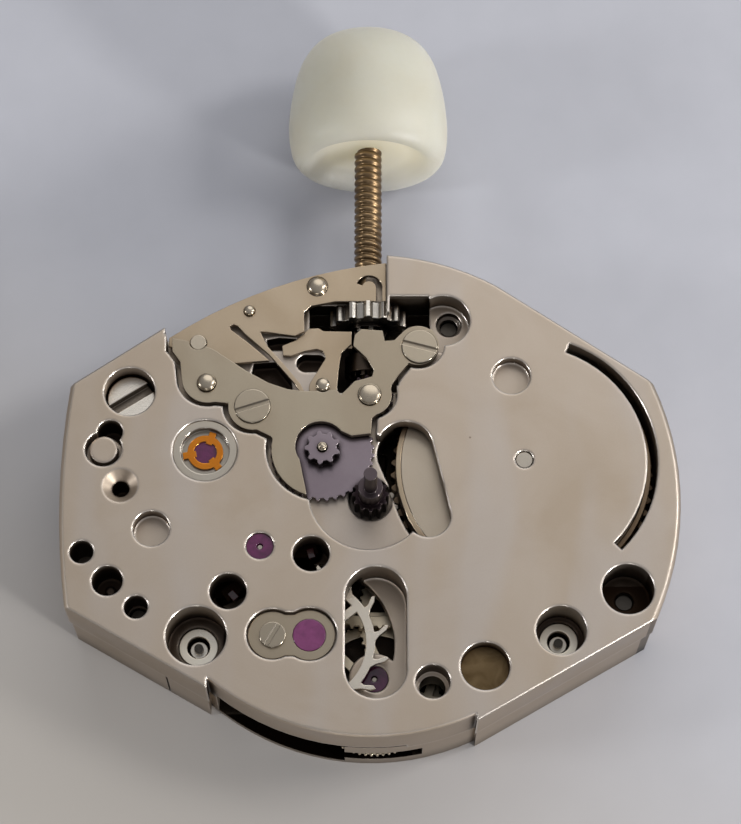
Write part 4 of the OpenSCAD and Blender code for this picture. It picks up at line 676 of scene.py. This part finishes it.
def makeKnobPlastic():
    material, tree, shader = newMaterial("milkyPlastic")
    tone = placeGroup(tree, surfaceTone, (-900, 200), **plasticLook["tone"])
    here = splitAxes(tree, (-900, -200), objectPoint(tree, (-1100, -200)))
    across = doMaths(tree, (-900, -400), "SUBTRACT", here["X"], stemAxis[0])
    above = doMaths(tree, (-900, -550), "SUBTRACT", here["Z"], stemAxis[1])
    acrossSquared = doMaths(tree, (-800, -400), "MULTIPLY", across, across)
    squares = doMaths(tree, (-700, -400), "MULTIPLY_ADD", above, above, acrossSquared)
    radius = doMaths(tree, (-600, -400), "SQRT", squares)
    masks = [mapSpan(tree, (-500, -200), value, start * mm, end * mm, "SMOOTHSTEP")
             for value, (start, end) in ((here["Y"], plasticLook["mouthAlong"]),
                                         (radius, plasticLook["mouthAcross"]))]
    # painted light: the mouth is mixed toward a paler colour
    mouth = doMaths(tree, (-400, -200), "MULTIPLY", *masks)
    coloured = mixColours(tree, (-300, 200), mouth, tone["Colour"], plasticLook["mouthLight"])
    feed(tree, shader.inputs["Base Color"], coloured)
    feed(tree, shader.inputs["Roughness"], tone["Roughness"])
    addRelief(tree, shader, tone["Height"], plasticLook)
    shader.inputs["Subsurface Weight"].default_value = plasticLook["glow"]
    shader.inputs["Subsurface Radius"].default_value = plasticLook["glowRadius"]
    shader.inputs["Subsurface Scale"].default_value = plasticLook["glowScale"]
    return material


finishes["milkyPlastic"] = makeKnobPlastic()
print("plastic made")


# finishes on the CAD nodes

nodeFinishes = {
    "plateNickel": ["main_plate"],
    "bridgeNickel": ["train_bridge", "barrel_bridge", "balance_cock"],
    "palletSteelInShade": ["pallet_bridge", "pallet_fork"],
    "coverNickel": ["keyless_cover", "escape_cap_plate", "crown_core", "hairspring_stud",
                    "regulator_index"],
    "blockNickel": ["shock_blocks"],
    "drumNickel": ["barrel_drum"],
    "lidNickel": ["barrel_lid"],
    "strawSteel": ["spring_plate", "yoke", "setting_lever", "click", "click_spring"],
    "pinSteel": ["locating_pins", "lever_pivots", "wheel_studs"],
    "screwSteel": ["cover_screws", "escape_cap_screw", "ratchet_screw", "winding_screws",
                   "ratchet_wheel", "crown_wheel"],
    "sunkSteel": ["case_screw"],
    "wellScrew": ["bridge_screws"],
    "wellSteel": ["barrel_arbor", "centre_arbor", "third_arbor", "fourth_arbor", "escape_arbor",
                  "pallet_arbor", "balance_staff"],
    "toothSteel": ["winding_pinion"],
    "clutchSteel": ["clutch"],
    "pinionSteel": ["cannon_pinion", "setting_wheel"],
    "violetSteel": ["minute_wheel"],
    "wheelBrass": ["centre_wheel", "third_wheel", "fourth_wheel", "balance_wheel",
                   "impulse_roller"],
    "crossSteel": ["escape_wheel"],
    "tubeBrass": ["steady_tubes"],
    "dullBrass": ["brass_plug"],
    "goldSpring": ["shock_springs"],
    "blueSteel": ["hairspring", "mainspring"],
    "rubyJewel": ["shock_cap_jewels", "plate_jewels"],
    "rubyCap": ["escape_cap_jewel"],
    "rubyInShade": ["pallet_stones", "bridge_jewels"],
}


def shadeMesh(mesh, finish, sharpFrom=28):
    # edges that turn by more than sharpFrom degrees stay sharp
    mesh.materials.clear()
    mesh.materials.append(finishes[finish])
    for face in mesh.polygons:
        face.use_smooth = True
    mesh.set_sharp_from_angle(angle=math.radians(sharpFrom))


for finish, names in nodeFinishes.items():
    for name in names:
        shadeMesh(nodes[name].data, finish)
print("nodes dressed")


# pieces that stand for plainer CAD nodes

def ringSurface(name, rings, finish, body, sharpFrom):
    # rings are lists of points of one length, joined in turn and closed at both ends
    count = len(rings[0])
    points = [point for ring in rings for point in ring]
    faces = []
    for start in range(0, (len(rings) - 1) * count, count):
        for j in range(count):
            k = (j + 1) % count
            faces.append((start + j, start + k, start + count + k, start + count + j))
    faces.append(tuple(range(count - 1, -1, -1)))
    faces.append(tuple(range(len(points) - count, len(points))))
    mesh = bpy.data.meshes.new(name)
    mesh.from_pydata(points, [], faces)
    mesh.validate()
    shadeMesh(mesh, finish, sharpFrom)
    piece = addObject(name, mesh)
    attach(piece, body)
    return piece


# rounded ends of pins and studs

# each has its x, y, level, radius and height in millimetres, and the gap is a share of a step
pinDomes = {
    "sides": 36, "steps": 6, "topGap": 0.4, "sharpFrom": 60,
    "pins": {
        "cover_pin_dome": (-5.15, 3.68, -0.02, 0.28, 0.11),
        "corner_pin_dome": (-3.85, 6.2, -0.25, 0.17, 0.09),
        "lever_pivot_dome": (-1.7, 7.05, -0.32, 0.31, 0.15),
        "yoke_pivot_dome": (-1.5, 3.65, -0.16, 0.21, 0.08),
        "setting_stud_dome": (-0.03, 3.29, -0.05, 0.33, 0.07),
        "minute_stud_dome": (-1.5, 1.5, 0.15, 0.098, 0.05),
    },
}


def makePinDomes():
    sides, steps = pinDomes["sides"], pinDomes["steps"]
    for name, (x, y, level, radius, height) in pinDomes["pins"].items():
        rings = []
        for step in range(steps + 1):
            turn = math.pi / 2 * step / (steps + pinDomes["topGap"])
            r, z = radius * math.cos(turn), level + height * math.sin(turn)
            rings.append([((x + r * math.cos(a)) * mm, (y + r * math.sin(a)) * mm, z * mm)
                          for a in (2 * math.pi * j / sides for j in range(sides))])
        ringSurface(name, rings, "pinSteel", "frame", pinDomes["sharpFrom"])


# threaded stem

def aroundStem(y, radii):
    # a ring of points round the stem's axis, y millimetres along it
    count = len(radii)
    return [(stemAxis[0] + r * mm * math.sin(2 * math.pi * j / count), y * mm,
             stemAxis[1] + r * mm * math.cos(2 * math.pi * j / count))
            for j, r in enumerate(radii)]


# the shaft and the end are given as radius and place along the stem, in millimetres
stemThread = {
    "sides": 32, "steps": 8, "sharpFrom": 60,  # steps are rings in one turn of the thread
    "shaft": [(0.02, 3.3), (0.12, 3.35), (0.14, 3.45), (0.14, 3.9), (0.2, 3.95), (0.2, 5.8),
              (0.3, 5.8), (0.3, 6.6), (0.42, 6.6), (0.42, 6.72), (0.24, 6.72), (0.24, 6.98),
              (0.42, 6.98), (0.42, 7.94), (0.37, 8.0)],
    "from": 8.02, "to": 12.7, "pitch": 0.245, "root": 0.365, "crest": 0.448,
    "crestWidth": 1.5,  # above 1 the crest is flat, and wider the larger it is
    "end": [(0.36, 12.7), (0.34, 13.55)],
}


def makeThreadedStem():
    thread = stemThread
    sides, steps = thread["sides"], thread["steps"]
    rings = [aroundStem(y, [r] * sides) for r, y in thread["shaft"]]
    for i in range(int((thread["to"] - thread["from"]) / thread["pitch"] * steps)):
        y = thread["from"] + i * thread["pitch"] / steps
        grow = min(1, i / steps)  # the thread starts from nothing over its first turn
        radii = []
        for j in range(sides):
            turn = i / steps + j / sides
            wave = 0.5 - 0.5 * math.cos(2 * math.pi * turn)
            ridge = min(1, thread["crestWidth"] * wave)
            radii.append(thread["root"] + (thread["crest"] - thread["root"]) * ridge * grow)
        rings.append(aroundStem(y, radii))
    rings += [aroundStem(y, [r] * sides) for r, y in thread["end"]]
    stem = ringSurface("stem_thread", rings, "threadSteel", "stem", thread["sharpFrom"])
    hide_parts("stem")


stemSquare = {"from": 3.95, "to": 5.8, "half": 0.21}  # the part that the clutch slides on


def makeStemSquare():
    half = stemSquare["half"] * mm
    corners = [(stemAxis[0] + a * half, stemSquare[end] * mm, stemAxis[1] + b * half)
               for end in ("from", "to") for a, b in ((-1, -1), (1, -1), (1, 1), (-1, 1))]
    walls = [(i, (i + 1) % 4, (i + 1) % 4 + 4, i + 4) for i in range(4)]
    mesh = bpy.data.meshes.new("stem_square")
    mesh.from_pydata(corners, [], [(3, 2, 1, 0), (4, 5, 6, 7)] + walls)
    shadeMesh(mesh, "threadSteel")
    bar = addObject("stem_square", mesh)
    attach(bar, "stem")


# moulded knob

# the profile is given as radius and place from the start, in millimetres, and the lumps have
# their depth at the full radius
knobForm = {
    "start": 11.75, "sides": 80, "steps": 3, "sharpFrom": 70,
    "radius": 2.5, "lumps": 0.07, "lumpSize": 1.5, "wide": 1.06,
    "profile": [(0.46, 0.5), (0.9, 0.5), (1.35, 0.45), (1.62, 0.3), (1.82, 0.12), (2.05, 0.03),
                (2.25, 0.14), (2.4, 0.42), (2.48, 0.9), (2.49, 1.45), (2.45, 2.05), (2.37, 2.65),
                (2.24, 3.25), (2.05, 3.75), (1.78, 4.16), (1.42, 4.43), (0.95, 4.58),
                (0.5, 4.63), (0.06, 4.63)],
}


def smoothBetween(a, b, c, d, t):
    # from b to c on a smooth curve that comes from a and goes on to d
    return 0.5 * (2 * b + (c - a) * t + (2 * a - 5 * b + 4 * c - d) * t * t
                  + (3 * b - a - 3 * c + d) * t ** 3)


def makeKnob():
    sides, steps, profile = knobForm["sides"], knobForm["steps"], knobForm["profile"]
    last = len(profile) - 1
    rings = []
    for i in range(last):
        before, here, after = profile[max(i - 1, 0)], profile[i], profile[i + 1]
        beyond = profile[min(i + 2, last)]
        for step in range(steps):
            r, y = (smoothBetween(*values, step / steps)
                    for values in zip(before, here, after, beyond))
            radii = []
            for j in range(sides):
                turn = 2 * math.pi * j / sides
                spot = Vector((r * math.sin(turn), y, r * math.cos(turn))) / knobForm["lumpSize"]
                lump = knobForm["lumps"] / knobForm["radius"] * (0.5 + 0.5 * noise.noise(spot))
                radii.append(r * (1 - lump))
            rings.append([(stemAxis[0] + (x - stemAxis[0]) * knobForm["wide"], along, z)
                          for x, along, z in aroundStem(knobForm["start"] + y, radii)])
    knob = ringSurface("moulded_knob", rings, "milkyPlastic", "stem", knobForm["sharpFrom"])
    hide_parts("stem_knob")


makePinDomes()
print("pin ends made")
makeThreadedStem()
makeStemSquare()
print("threaded stem made")
makeKnob()
print("knob made")
